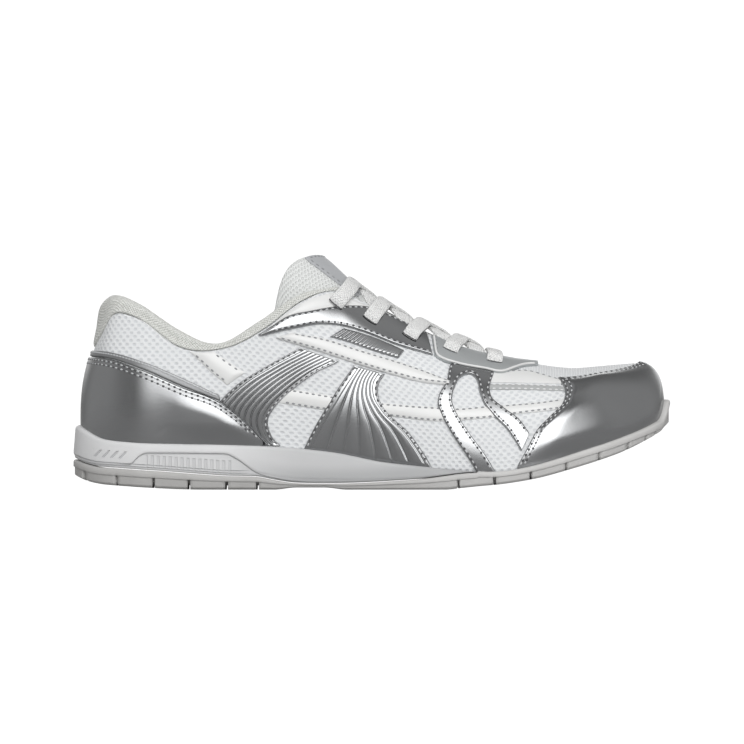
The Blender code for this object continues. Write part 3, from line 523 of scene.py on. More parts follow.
def side_curve(side):
    """The sections of one side as a curve that runs on around the heel and the toe into the other side."""
    rows = [section_row(section, side) for section in SECTIONS]
    before = section_row(SECTIONS[1], -side)
    after = section_row(SECTIONS[-2], -side)
    knots = np.concatenate([[-KNOTS[1]], KNOTS, [2 - KNOTS[-2]]])
    return Curve(knots, [before, *rows, after], steady=False)


SIDE_CURVES = {OUTER: side_curve(OUTER), INNER: side_curve(INNER)}
SOLE_CURVE = Curve(
    [along_foot(line.along) for line in SOLE_LINES],
    [[height * MM for height in line[1:]] for line in SOLE_LINES],
    steady=True,
)
THROAT_STATION = KNOTS[THROAT_END]


def plan_normal(side, station):
    """The direction that points out of the shoe in plan, square to the sole line."""
    curve = SIDE_CURVES[side]
    run = unit(curve(station + SURFACE_STEP)[..., :2] - curve(station - SURFACE_STEP)[..., :2])
    normal = np.zeros(run.shape[:-1] + (3,))
    normal[..., 0] = -side * run[..., 1]
    normal[..., 1] = side * run[..., 0]
    return normal


def upright(height):
    """A vector straight up, as long as the height."""
    height = np.asarray(height, float)
    return np.stack([np.zeros_like(height), np.zeros_like(height), height], axis=-1)


def upper_point(side, station, share):
    """A point of the upper's outside: share 0 is on the sole line and 1 on the top edge."""
    station, share = np.broadcast_arrays(np.asarray(station, float), np.asarray(share, float))
    row = SIDE_CURVES[side](station)
    normal = plan_normal(side, station)
    foot = row[..., FOOT]
    top = row[..., TOP].copy()
    closed = station >= THROAT_STATION
    tops = [SIDE_CURVES[each](station)[..., TOP] for each in (OUTER, INNER)]
    middle = 0.5 * (tops[0][..., 1] + tops[1][..., 1])
    top[..., 1] = np.where(closed, middle, top[..., 1])
    tall = top[..., 2] - foot[..., 2]
    low = foot + normal * row[..., LOW_SWELL, None] + upright(row[..., LOW_REACH] * tall)
    high = top + normal * row[..., HIGH_SWELL, None] - upright(row[..., HIGH_REACH] * tall)
    share = share[..., None]
    rest = 1 - share
    return rest**3 * foot + 3 * rest**2 * share * low + 3 * rest * share**2 * high + share**3 * top


def upper_normal(side, station, share):
    """The direction that points out of the upper's surface."""
    step = SURFACE_STEP
    share = np.clip(share, step, 1 - step)
    along = upper_point(side, station + step, share) - upper_point(side, station - step, share)
    up = upper_point(side, station, share + step) - upper_point(side, station, share - step)
    return unit(-side * np.cross(along, up))


def find_on_upper(side, along, rise):
    """Stations and shares of the upper's points that lie at some places in the side view."""
    step = SURFACE_STEP
    station = np.interp(along, SIDE_CURVES[side](KNOTS)[:, 0] - SECTION_LEAN, KNOTS)
    share = np.full_like(station, 0.5)
    for _ in range(SEARCH_ROUNDS):
        here = upper_point(side, station, share)
        by_station = (upper_point(side, station + step, share) - here) / step
        by_share = (upper_point(side, station, share + step) - here) / step
        miss_along = along - here[..., 0]
        miss_rise = rise - here[..., 2]
        area = by_station[..., 0] * by_share[..., 2] - by_share[..., 0] * by_station[..., 2]
        station_step = (miss_along * by_share[..., 2] - by_share[..., 0] * miss_rise) / area
        share_step = (by_station[..., 0] * miss_rise - miss_along * by_station[..., 2]) / area
        station = station + np.clip(station_step, -STATION_STRIDE, STATION_STRIDE)
        station = np.clip(station, *STATION_LIMITS)
        share = share + np.clip(share_step, -SHARE_STRIDE, SHARE_STRIDE)
        share = np.clip(share, *SHARE_LIMITS)
    return station, share


def sole_heights(points):
    """Ground, tread top, panel line, bed and core heights under or beside some points."""
    return SOLE_CURVE(points[..., 0])


def upper_foot(side, station):
    """The upper's lowest edge, tucked inside the sole's rim and standing on the bed."""
    line = SIDE_CURVES[side](station)[..., FOOT]
    edge = line - plan_normal(side, station) * UPPER_TUCK
    edge[..., 2] = sole_heights(edge)[..., BED] + FIT_GAP
    return edge


def rim_height(side, station):
    """The height of the sole's rim, which is the sole line plus the bumper at the toe's tip."""
    seam = SIDE_CURVES[side](station)[..., FOOT][..., 2]
    bumper = 1 - BUMPER_HALF_SPAN
    return seam + BUMPER_RISE * smooth_step(bumper, bumper + BUMPER_SLOPE * BUMPER_HALF_SPAN, station)


def upper_at_height(side, station, height):
    """The point of the upper's outside at one height, low on its wall."""
    points = upper_point(side, station, LIP_SHARES)
    share = np.interp(height, points[:, 2], LIP_SHARES)
    return upper_point(side, station, share)


def station_at(along):
    """The station whose section lies at a place along the foot."""
    low = 0.0
    high = 1.0
    for _ in range(HALVINGS):
        middle = 0.5 * (low + high)
        if SIDE_CURVES[OUTER](middle)[0] < along:
            low = middle
        else:
            high = middle
    return 0.5 * (low + high)


# Materials

# Sockets of a Mix node that blends colours
MIX_SHARE = 0
MIX_FIRST = 6
MIX_SECOND = 7
MIX_COLOUR = 2


class Number:
    """A number in a material that can be used in sums."""

    def __init__(self, paint, socket):
        self.paint = paint
        self.socket = socket

    def calculate(self, operation, first, second=0.0):
        node = self.paint.node("ShaderNodeMath", {"operation": operation}, {0: first, 1: second})
        return Number(self.paint, node.outputs[0])

    def __add__(self, other):
        return self.calculate("ADD", self, other)

    __radd__ = __add__

    def __sub__(self, other):
        return self.calculate("SUBTRACT", self, other)

    def __rsub__(self, other):
        return self.calculate("SUBTRACT", other, self)

    def __mul__(self, other):
        return self.calculate("MULTIPLY", self, other)

    __rmul__ = __mul__

    def __truediv__(self, other):
        return self.calculate("DIVIDE", self, other)

    def __pow__(self, other):
        return self.calculate("POWER", self, other)

    def fraction(self):
        return self.calculate("FRACT", self)

    def size(self):
        return self.calculate("ABSOLUTE", self)

    def least(self, other):
        return self.calculate("MINIMUM", self, other)

    def most(self, other):
        return self.calculate("MAXIMUM", self, other)

    def step(self, low, high):
        """Rises smoothly from 0 at low to 1 at high, or falls where low is above high."""
        settings = {"interpolation_type": "SMOOTHSTEP"}
        if low < high:
            node = self.paint.node("ShaderNodeMapRange", settings, {0: self, 1: low, 2: high})
            return Number(self.paint, node.outputs[0])
        node = self.paint.node("ShaderNodeMapRange", settings, {0: self, 1: high, 2: low})
        return 1 - Number(self.paint, node.outputs[0])


class Paint:
    """A material under construction."""

    def __init__(self, name):
        self.material = bpy.data.materials.new(name)
        self.material.use_nodes = True
        self.tree = self.material.node_tree
        self.shader = self.tree.nodes["Principled BSDF"]
        self.maps = {}

    def node(self, kind, settings=None, inputs=None):
        """Adds a node with its settings and what its sockets are given."""
        node = self.tree.nodes.new(kind)
        for key, setting in (settings or {}).items():
            setattr(node, key, setting)
        for key, given in (inputs or {}).items():
            self.feed(node.inputs[key], given)
        return node

    def feed(self, socket, given):
        """Links a socket or sets its value; a colour is three numbers."""
        if isinstance(given, Number):
            self.tree.links.new(given.socket, socket)
        elif isinstance(given, bpy.types.NodeSocket):
            self.tree.links.new(given, socket)
        else:
            socket.default_value = (*given, 1) if isinstance(given, tuple) else given

    def flat(self, name="UVMap"):
        """The surface's own coordinates in millimetres: along and across."""
        if name not in self.maps:
            layer = self.node("ShaderNodeUVMap", {"uv_map": name})
            parts = self.node("ShaderNodeSeparateXYZ", None, {0: layer.outputs[0]})
            self.maps[name] = Number(self, parts.outputs[0]), Number(self, parts.outputs[1])
        return self.maps[name]

    def place(self):
        """The surface's place in the shoe, in metres: along, across and up."""
        place = self.node("ShaderNodeTexCoord")
        parts = self.node("ShaderNodeSeparateXYZ", None, {0: place.outputs["Object"]})
        return [Number(self, output) for output in parts.outputs]

    def noise(self, size, detail=3.0, roughness=0.5):
        """Soft variation from 0 to 1 with spots of about one size, in metres."""
        place = self.node("ShaderNodeTexCoord")
        inputs = {
            "Vector": place.outputs["Object"],
            "Scale": 1 / size,
            "Detail": detail,
            "Roughness": roughness,
        }
        node = self.node("ShaderNodeTexNoise", None, inputs)
        return Number(self, node.outputs[0])

    def cells(self, size):
        """The distance to the nearest of many scattered points, for grain."""
        place = self.node("ShaderNodeTexCoord")
        inputs = {"Vector": place.outputs["Object"], "Scale": 1 / size}
        node = self.node("ShaderNodeTexVoronoi", None, inputs)
        return Number(self, node.outputs["Distance"])

    def blend(self, share, first, second):
        """A colour between two colours."""
        inputs = {MIX_SHARE: share, MIX_FIRST: first, MIX_SECOND: second}
        node = self.node("ShaderNodeMix", {"data_type": "RGBA"}, inputs)
        return node.outputs[MIX_COLOUR]

    def bump(self, height, distance, strength):
        """Raises and sinks the surface's shading by a height, at most by a distance in metres."""
        inputs = {"Height": height, "Distance": distance, "Strength": strength}
        node = self.node("ShaderNodeBump", None, inputs)
        self.feed(self.shader.inputs["Normal"], node.outputs[0])

    def set(self, **values):
        """Sets the shader's sockets by name, with spaces written as underscores."""
        for key, given in values.items():
            self.feed(self.shader.inputs[key.replace("_", " ")], given)


def dimples(along, across, pitch_along, pitch_across, long, wide):
    """Staggered rows of small oval hollows, 1 in a hollow and 0 between them."""
    row_pair = 2 * pitch_across

    def ovals(shift):
        off_along = (along / pitch_along + shift).fraction() - 0.5
        off_across = (across / row_pair + shift).fraction() - 0.5
        return (off_along * (pitch_along / long)) ** 2 + (off_across * (row_pair / wide)) ** 2

    return ovals(0).least(ovals(0.5)).step(1.5, 0.1)


def around(place, middle, outside, inside):
    """1 close to a middle and 0 far from it, with a soft border between the two distances."""
    return (place - middle).size().step(outside, inside)


def mesh_cloth():
    """White spacer mesh: a smooth knit face with staggered oval hollows and, at the vamp, fine rib grooves,
    both darkened with painted shade.
    """
    paint = Paint("spacer_mesh")
    along, across = paint.flat()
    hollow = dimples(along, across, pitch_along=3.7, pitch_across=1.7, long=1.0, wide=0.72)
    fibre = paint.noise(0.6 * MM, 2.0)
    cloud = paint.noise(9 * MM, 3.0)
    x, _, z = paint.place()
    vamp = x.step(0.062, 0.066) * z.step(0.0470, 0.0480)
    rib = around((x / (1.15 * MM)).fraction(), 0.5, 0.32, 0.12)
    hollow = hollow * (0.45 + cloud * 0.8) * (1 - vamp)
    face = paint.blend(cloud, (0.84, 0.855, 0.865), (0.90, 0.91, 0.915))
    knit = paint.blend(fibre * 0.35, face, (0.66, 0.68, 0.70))
    # Painted shade: the vamp's sunk rib grooves are coloured darker.
    ribbed = paint.blend(rib * vamp * 0.25, knit, (0.58, 0.60, 0.62))
    # Painted shade: the hollows are coloured darker, by amounts that vary with the clouds.
    paint.set(Base_Color=paint.blend(hollow * 0.55, ribbed, (0.55, 0.57, 0.60)), Roughness=0.82)
    paint.set(Sheen_Weight=0.25, Sheen_Roughness=0.4, Specular_IOR_Level=0.25)
    paint.bump(fibre * 0.3 - hollow - rib * vamp * 0.6, 0.35 * MM, 0.8)
    return paint.material


def tongue_cloth():
    """White open mesh with larger round holes, coloured darker with painted shade."""
    paint = Paint("tongue_mesh")
    along, across = paint.flat()
    hollow = dimples(across, along, pitch_along=1.9, pitch_across=0.9, long=0.52, wide=0.36)
    fibre = paint.noise(0.6 * MM, 2.0)
    face = paint.blend(fibre, (0.75, 0.765, 0.755), (0.87, 0.88, 0.87))
    # Painted shade: the holes are coloured darker.
    paint.set(Base_Color=paint.blend(hollow * 0.25, face, (0.60, 0.62, 0.60)), Roughness=0.85)
    paint.set(Sheen_Weight=0.25, Specular_IOR_Level=0.2)
    paint.bump(fibre * 0.3 - hollow, 0.5 * MM, 0.8)
    return paint.material


def knit_cloth():
    """Cream knit of the cuff: rows of small loops, with painted shade in the hollows between them."""
    paint = Paint("cuff_knit")
    along, across = paint.flat()
    hollow = dimples(along, across, pitch_along=1.3, pitch_across=0.62, long=0.36, wide=0.28)
    speck = paint.noise(0.8 * MM, 2.0)
    face = paint.blend(speck.step(0.35, 0.65), (0.75, 0.76, 0.72), (0.93, 0.935, 0.905))
    # Painted shade: the hollows between the loops are coloured darker.
    paint.set(Base_Color=paint.blend(hollow * 0.5, face, (0.48, 0.50, 0.45)), Roughness=0.9)
    paint.set(Sheen_Weight=0.3, Specular_IOR_Level=0.2)
    paint.bump(speck * 0.5 - hollow, 0.5 * MM, 0.8)
    return paint.material


def foil_leather():
    """Silver foil on a fine-grained synthetic leather."""
    paint = Paint("silver_foil")
    grain = paint.cells(0.8 * MM)
    crackle = paint.noise(1.2 * MM, 3.0, 0.5)
    cloud = paint.noise(22 * MM, 2.0)
    paint.set(Base_Color=paint.blend(cloud, (0.315, 0.32, 0.325), (0.36, 0.365, 0.37)))
    paint.set(Metallic=1.0, Roughness=0.19 + crackle * 0.07)
    paint.bump(grain * 0.5 + crackle * 0.5, 0.03 * MM, 0.4)
    return paint.material


def dull_foil():
    """A greyer, rougher silver for the narrow trim."""
    paint = Paint("dull_silver")
    crackle = paint.noise(0.8 * MM, 4.0, 0.6)
    paint.set(Base_Color=paint.blend(crackle, (0.27, 0.275, 0.28), (0.36, 0.365, 0.37)))
    paint.set(Metallic=0.85, Roughness=0.34 + crackle * 0.12)
    paint.bump(crackle, 0.05 * MM, 0.4)
    return paint.material


def smooth_synthetic(name, cloud_size, dark, light, grain_size, roughness, depth, **constants):
    """A smooth coated finish with soft clouds of colour and a fine grain; sizes are in millimetres."""
    paint = Paint(name)
    cloud = paint.noise(cloud_size * MM, 2.0)
    fine = paint.noise(grain_size * MM, 3.0)
    smoothest, spread = roughness
    paint.set(Base_Color=paint.blend(cloud, dark, light), Roughness=smoothest + fine * spread, **constants)
    paint.bump(fine, depth * MM, 0.4)
    return paint.material


def satin_silver():
    """Smooth satin grey of the front eyestay."""
    dark = (0.48, 0.50, 0.505)
    light = (0.55, 0.57, 0.575)
    return smooth_synthetic("satin_silver", 12, dark, light, 0.5, (0.36, 0.1), 0.03, Metallic=0.55)


def white_leather():
    """Glossy white synthetic of the bands and the edges."""
    dark = (0.77, 0.775, 0.77)
    light = (0.84, 0.84, 0.83)
    gloss = {"Coat_Weight": 0.25, "Coat_Roughness": 0.2}
    return smooth_synthetic("white_synthetic", 14, dark, light, 0.6, (0.3, 0.14), 0.05, **gloss)


def grey_synthetic():
    """Smooth mid-grey synthetic of the narrow vamp band."""
    dark = (0.42, 0.43, 0.43)
    light = (0.48, 0.49, 0.49)
    return smooth_synthetic("grey_synthetic", 8, dark, light, 0.6, (0.4, 0.12), 0.05)


def grey_label():
    """Smooth pale grey of the tongue's bare label."""
    dark = (0.43, 0.44, 0.455)
    light = (0.49, 0.50, 0.515)
    return smooth_synthetic("label_grey", 10, dark, light, 0.4, (0.45, 0.1), 0.05)


def foam():
    """White moulded foam with fine lines at the heel and ribs in its side panel, sunk and darkened with
    painted shade, a dark line of painted shade along the panel's step, and painted shade that darkens the
    waist towards the bottom.
    """
    paint = Paint("midsole_foam")
    along, above = paint.flat()
    skin = paint.noise(0.5 * MM, 3.0)
    cloud = paint.noise(16 * MM, 2.0)
    lines = around(above, 1.2, 0.35, 0.1).most(around(above, 2.3, 0.35, 0.1)) * along.step(79, 72)
    slant = ((along - above * 0.9) / 3.7).fraction()
    slant_ribs = around(slant, 0.5, 0.17, 0.08) * around(above, 6.1, 1.7, 1.4) * around(along, 16.5, 7.6, 7.3)
    panel = around(along, 51, 19.5, 18.0) * around(above, 4.0, 2.9, 2.5)
    panel_ribs = around((along / 2.6).fraction(), 0.5, 0.30, 0.16) * panel
    # Painted shade: a dark line along the step of the recessed panel.
    panel_step_shade = paint.flat("PanelMap")[1].size().step(0.38, 0.12) * along.step(104, 92) * along.step(1, 4)
    shaded_grooves = lines.most(slant_ribs).most(panel_ribs * 0.5).most(panel_step_shade)
    unshaded_foam = paint.blend(cloud, (0.66, 0.665, 0.67), (0.73, 0.73, 0.735))
    # Painted shade: the waist is coloured darker, most towards the bottom.
    waist = along.step(62, 104) * (0.55 + above.step(9, 3) * 0.45)
    face = paint.blend(waist, unshaded_foam, (0.44, 0.445, 0.45))
    # Painted shade darkens the sunk lines, the ribs and the panel's step.
    paint.set(Base_Color=paint.blend(shaded_grooves * 0.45, face, (0.38, 0.39, 0.40)), Roughness=0.52 + skin * 0.1)
    paint.bump(skin * 0.08 - shaded_grooves, 0.6 * MM, 0.8)
    return paint.material


def rubber():
    """Light warm grey rubber, with painted shade that makes the heel darker than the forefoot."""
    paint = Paint("outsole_rubber")
    fine = paint.noise(0.4 * MM, 3.0)
    cloud = paint.noise(12 * MM, 3.0)
    x, _, _ = paint.place()
    # Painted shade: the heel is coloured darker than the forefoot.
    heel = paint.blend(cloud, (0.44, 0.435, 0.425), (0.50, 0.495, 0.485))
    forefoot = paint.blend(cloud, (0.56, 0.555, 0.545), (0.64, 0.635, 0.625))
    paint.set(Base_Color=paint.blend(x.step(-0.02, 0.05), heel, forefoot), Roughness=0.55 + fine * 0.12)
    paint.bump(fine, 0.08 * MM, 0.5)
    return paint.material


def elastic():
    """Flat woven elastic, off-white with grey flecks, and painted shade in the hollows of the weave."""
    paint = Paint("lace_elastic")
    along, across = paint.flat()
    hollow = dimples(along, across, pitch_along=1.5, pitch_across=0.75, long=0.5, wide=0.34)
    fleck = paint.noise(0.8 * MM, 2.0).step(0.56, 0.66)
    # Painted shade: the hollows of the weave are coloured darker.
    face = paint.blend(hollow * 0.4, (0.95, 0.95, 0.94), (0.72, 0.73, 0.73))
    paint.set(Base_Color=paint.blend(fleck * 0.4, face, (0.48, 0.49, 0.50)), Roughness=0.85)
    paint.set(Specular_IOR_Level=0.2)
    paint.bump(fleck * 0.3 - hollow, 0.4 * MM, 0.8)
    return paint.material


def thread(name, light, dark):
    """Twisted sewing thread."""
    paint = Paint(name)
    twist = paint.noise(0.35 * MM, 2.0)
    paint.set(Base_Color=paint.blend(twist, dark, light), Roughness=0.55)
    paint.bump(twist, 0.1 * MM, 0.6)
    return paint.material


def lining_cloth():
    """Soft pale lining inside the shoe."""
    paint = Paint("lining_cloth")
    weave = paint.noise(0.7 * MM, 3.0)
    cloud = paint.noise(14 * MM, 3.0)
    face = paint.blend(cloud, (0.60, 0.60, 0.58), (0.70, 0.70, 0.68))
    paint.set(Base_Color=paint.blend(weave * 0.3, face, (0.48, 0.48, 0.47)), Roughness=0.9)
    paint.bump(weave, 0.25 * MM, 0.7)
    return paint.material


def slot_dark(name):
    """Painted shade: a dark fill for the inside of a lace slot or a needle hole."""
    paint = Paint(name)
    fine = paint.noise(0.6 * MM, 2.0)
    paint.set(Base_Color=paint.blend(fine, (0.06, 0.06, 0.065), (0.12, 0.12, 0.125)), Roughness=0.8)
    return paint.material


def floor_pale():
    """A plain pale floor."""
    paint = Paint("floor_pale")
    cloud = paint.noise(0.5, 2.0)
    paint.set(Base_Color=paint.blend(cloud, (0.50, 0.50, 0.50), (0.54, 0.54, 0.54)), Roughness=0.85)
    paint.set(Specular_IOR_Level=0.1)
    return paint.material


# Meshes from grids


class Patch:
    """Points and normals of a piece of surface, in rows of columns, with the lengths along both.

    The lengths are in millimetres, and a patch that is only unrolled needs no normals.
    """

    def __init__(self, points, normals=None):
        self.points = points
        self.normals = normals
        along = np.linalg.norm(np.diff(points, axis=1), axis=2) / MM
        across = np.linalg.norm(np.diff(points, axis=0), axis=2) / MM
        self.along = np.pad(np.cumsum(along, axis=1), ((0, 0), (1, 0)))
        self.across = np.pad(np.cumsum(across, axis=0), ((1, 0), (0, 0)))

    def from_borders(self):
        """How far each point lies from each of the four borders, in millimetres."""
        return {
            "start": self.along,
            "end": self.along[:, -1:] - self.along,
            "low": self.across,
            "high": self.across[-1:] - self.across,
        }

    def from_edge(self):
        """How far each point lies from the nearest border, in millimetres."""
        return np.minimum.reduce(list(self.from_borders().values()))

    def raised(self, height):
        """The points, moved out of the surface by a height in millimetres."""
        return self.points + self.normals * (np.asarray(height) * MM)[..., None]

    def flat(self):
        """Each point's place in millimetres, with the middle row as the measure of length."""
        middle = self.along[len(self.along) // 2]
        return np.stack([np.broadcast_to(middle, self.across.shape), self.across], axis=-1)


def lay_grid(bm, points, flat):
    """Adds a grid of faces and moves its corners to a table of points."""
    rows, columns = points.shape[:2]
    layer = bm.loops.layers.uv.get("UVMap") or bm.loops.layers.uv.new("UVMap")
    made = bmesh.ops.create_grid(bm, x_segments=columns - 1, y_segments=rows - 1, size=1)["verts"]
    for corner in made:
        column = round((corner.co.x + 1) / 2 * (columns - 1))
        row = round((corner.co.y + 1) / 2 * (rows - 1))
        corner.co = points[row, column]
        for loop in corner.link_loops:
            loop[layer].uv = flat[row, column]


def lay_unrolled(bm, points):
    """Adds a grid through some points, unrolled in millimetres."""
    lay_grid(bm, points, Patch(points).flat())


def close_ends(bm):
    """Joins a grid's meeting borders and fills the openings that are left."""
    bmesh.ops.remove_doubles(bm, verts=bm.verts, dist=MERGE_DISTANCE)
    bmesh.ops.holes_fill(bm, edges=[edge for edge in bm.edges if edge.is_boundary], sides=0)


def ball_mesh(bm, place, axes, segments, rings):
    """Adds a ball at a place, stretched to three half axes."""
    matrix = Matrix.Identity(4)
    for column, axis in enumerate(axes):
        for row in range(3):
            matrix[row][column] = axis[row]
    matrix.translation = Vector(place)
    bmesh.ops.create_uvsphere(bm, u_segments=segments, v_segments=rings, radius=1, matrix=matrix)


def add_piece(name, bm, paints, nodes=()):
    """Closes up a mesh and adds it as a piece of the shoe."""
    bmesh.ops.remove_doubles(bm, verts=bm.verts, dist=MERGE_DISTANCE)
    bmesh.ops.recalc_face_normals(bm, faces=bm.faces)
    mesh = bpy.data.meshes.new(name)
    bm.to_mesh(mesh)
    bm.free()
    mesh.shade_smooth()
    for paint in paints:
        mesh.materials.append(paint)
    piece = bpy.data.objects.new(name, mesh)
    bpy.context.scene.collection.objects.link(piece)
    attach(piece, "root")
    if nodes:
        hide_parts(*nodes)
    return piece


def close_lines(count, length):
    """Grid lines from 0 to 1 that lie close together along both borders, where an edge rolls down."""
    roll = np.array(ROLL_LINES) / max(length, SHORTEST_ROLLED)
    middle = np.linspace(roll[-1], 1 - roll[-1], count)
    return np.concatenate([roll[:-1], middle, 1 - roll[-2::-1]])


def edge_roll(distance, radius=EDGE_ROLL):
    """The rounded rise of a cut edge: 0 on the border and 1 from one radius in."""
    share = np.clip(distance / radius, 0, 1)
    return np.sqrt(1 - (1 - share) ** 2)


def pillow_mesh(patch, height):
    """A closed layer on a patch: raised by the height and flat underneath."""
    bm = bmesh.new()
    lay_grid(bm, patch.raised(height), patch.flat())
    lay_grid(bm, patch.raised(np.full(height.shape, SEAT)), patch.flat())
    return bm


def layer_heights(patch, top, relief=0.0, butted=()):
    """Heights of a sewn layer, which rolls down along its free borders and stands square where it butts."""
    edge = np.ones_like(patch.along)
    for border, way in patch.from_borders().items():
        edge = np.minimum(edge, edge_roll(way, BUTT_ROLL if border in butted else EDGE_ROLL))
    return SEAT + (top - SEAT) * edge + relief * smooth_step(*RELIEF_EDGE, patch.from_edge())


def drawn_places(points):
    """Drawn points in metres."""
    return np.stack([along_foot([p[0] for p in points]), np.array([p[1] for p in points]) * MM], axis=-1)


def drawn_edge(points, lines):
    """Places on a smooth line through a few drawn points, in metres."""
    curve, _ = curve_along(drawn_places(points))
    return curve(lines)


def paired_edges(first, second, lines):
    """Places on two edges; where both have as many points, each point faces its partner."""
    if len(first) != len(second):
        return drawn_edge(first, lines), drawn_edge(second, lines)
    middle = 0.5 * (drawn_places(first) + drawn_places(second))
    knots = curve_along(middle)[0].knots
    return between(drawn_places(first), knots, lines), between(drawn_places(second), knots, lines)


def ribbon_patch(side, first, second, columns, rows):
    """The part of the upper between two edges that run the same way."""
    ends = np.array([np.subtract(first[0], second[0]), np.subtract(first[-1], second[-1])], float)
    width = max(float(np.linalg.norm(ends, axis=1).mean()), NARROWEST_LAYER)
    length = 0.5 * (way_along(first)[-1] + way_along(second)[-1])
    lines = close_lines(columns, length)
    parts = close_lines(rows, width)
    few_lines = np.linspace(0, 1, FOUND_LINES)
    few_parts = np.linspace(0, 1, FOUND_PARTS)
    few = few_parts[:, None, None]
    first_edge, second_edge = paired_edges(first, second, few_lines)
    places = first_edge * (1 - few) + second_edge * few
    station, share = find_on_upper(side, places[..., 0], places[..., 1])
    station = between(between(station, few_parts, parts).T, few_lines, lines).T
    share = between(between(share, few_parts, parts).T, few_lines, lines).T
    return Patch(upper_point(side, station, share), upper_normal(side, station, share))


def drawn_line(points):
    """A line of the side view as height over length."""
    return Curve(along_foot([p[0] for p in points]), [[p[1] * MM] for p in points], steady=False)


def share_on_line(side, station, line):
    """Where a section of the upper crosses a line of the side view."""
    points = upper_point(side, station, LINE_SHARES)
    above = points[:, 2] - line(points[:, 0])[:, 0]
    return np.interp(0, above, LINE_SHARES)


def share_over_rim(side, station):
    """Where a section of the upper comes out above the sole's rim."""
    points = upper_point(side, station, RIM_SHARES)
    return np.interp(rim_height(side, station) + RIM_CLEARANCE, points[:, 2], RIM_SHARES)


def wrapped_side(side, starts, parts, centre, low_share, high_share, lines):
    """Points and normals of a panel from its starting edge to the heel's or the toe's middle."""
    stations = np.linspace(min(np.min(starts), centre), max(np.max(starts), centre), FOUND_STATIONS)
    low = np.array([low_share(side, station) for station in stations])
    high = np.array([high_share(side, station) for station in stations])
    rows = starts[:, None] + (centre - starts[:, None]) * lines
    low = np.interp(rows, stations, low)
    high = np.interp(rows, stations, high)
    share = low + parts[:, None] * (high - low)
    return upper_point(side, rows, share), upper_normal(side, rows, share)


def wrapped_patch(starts, parts, centre, low_share, high_share, columns):
    """The part of the upper from one side round the heel or the toe to the other side."""
    lines = np.concatenate([WRAPPED_ROLL[:-1], np.linspace(WRAPPED_ROLL[-1], 1, columns)])
    outer, outer_normals = wrapped_side(OUTER, starts[OUTER], parts, centre, low_share, high_share, lines)
    inner, inner_normals = wrapped_side(INNER, starts[INNER], parts, centre, low_share, high_share, lines)
    points = np.concatenate([outer, inner[:, -2::-1]], axis=1)
    normals = np.concatenate([outer_normals, inner_normals[:, -2::-1]], axis=1)
    return Patch(points, normals)


# Sewing


class Sewing:
    """Rows of stitches that are joined into one mesh for each thread."""

    def __init__(self):
        self.meshes = {}

    def bead(self, bm, place, run, normal, sizes):
        """A small rounded bead: a stitch, or the painted shade of a needle hole."""
        wide = unit(np.cross(normal, run))
        up = np.cross(run, wide)
        axes = [axis * size / 2 * MM for axis, size in zip((wide, up, run), sizes)]
        ball_mesh(bm, place, axes, segments=6, rings=4)

    def row(self, thread_name, places, normals, pitch=STITCH_PITCH):
        """Sews a row of stitches along a line on a surface, with dark beads of painted shade for the needle
        holes between them in silver.
        """
        line, length = curve_along(places)
        turn = Curve(line.knots, normals, steady=False)
        count = max(int(length / MM / pitch), 1)
        self.beads(thread_name, line, turn, (np.arange(count) + 0.5) / count, STITCHES[thread_name])
        if thread_name == "silver":
            # Dark beads of painted shade in the needle holes.
            self.beads("hole", line, turn, (np.arange(count - 1) + 1) / count, NEEDLE_HOLE)

    def beads(self, thread_name, line, turn, places, sizes):
        """Adds beads of one size along a line to a thread's mesh."""
        bm = bmesh.new()
        for at in places:
            run = unit(line(min(at + LINE_STEP, 1)) - line(max(at - LINE_STEP, 0)))
            self.bead(bm, line(at), run, turn(at), sizes)
        mesh = bpy.data.meshes.new("row")
        bm.to_mesh(mesh)
        bm.free()
        self.meshes.setdefault(thread_name, bmesh.new()).from_mesh(mesh)
        bpy.data.meshes.remove(mesh)

    def border(self, thread_name, patch, height, edge, inset, pitch=STITCH_PITCH):
        """Sews along one border of a layer, some way in from it and short of its two ends."""
        lifted = patch.raised(height)
        if edge in ("low", "high"):
            lengths = patch.across
            grid = lifted
            normals = patch.normals
        else:
            lengths = patch.along.T
            grid = lifted.transpose(1, 0, 2)
            normals = patch.normals.transpose(1, 0, 2)
        places = []
        turns = []
        for column in range(grid.shape[1]):
            way = lengths[:, column]
            at = inset if edge in ("low", "start") else way[-1] - inset
            if way[-1] < ROOM_TO_SEW * inset:
                continue
            places.append([np.interp(at, way, grid[:, column, axis]) for axis in range(3)])
            turns.append([np.interp(at, way, normals[:, column, axis]) for axis in range(3)])
        places = np.array(places)
        turns = np.array(turns)
        if len(places) < FEWEST_PLACES:
            return
        way = way_along(places) / MM
        apart = np.concatenate([[True], np.diff(way) > SAME_PLACE])
        keep = (way >= SEWING_TRIM) & (way <= way[-1] - SEWING_TRIM) & apart
        if keep.sum() >= FEWEST_KEPT:
            self.row(thread_name, places[keep], turns[keep], pitch)

    def finish(self, paints):
        """Adds each thread's mesh as a piece."""
        for thread_name, bm in self.meshes.items():
            add_piece(f"stitching_{thread_name}", bm, [paints[thread_name]])


# Upper, cuff and tongue

SHELL_COLUMNS_BEHIND = 150
SHELL_COLUMNS_AHEAD = 60
SHELL_ROWS = 48
CUFF_BELLY = 0.38
CUFF_BELLY_OUT = 0.5 * MM
CUFF_BELLY_LEAN = 0.20
CUFF_SHOULDER = 0.80
CUFF_SHOULDER_OUT = 0.4 * MM
CUFF_SHOULDER_LEAN = 0.34
CUFF_SHOULDER_IN = 0.85
CUFF_CREST_IN = 0.25
CUFF_SEAT_IN = 0.8
CUFF_RINGS = 90
CUFF_RING_POINTS = 29


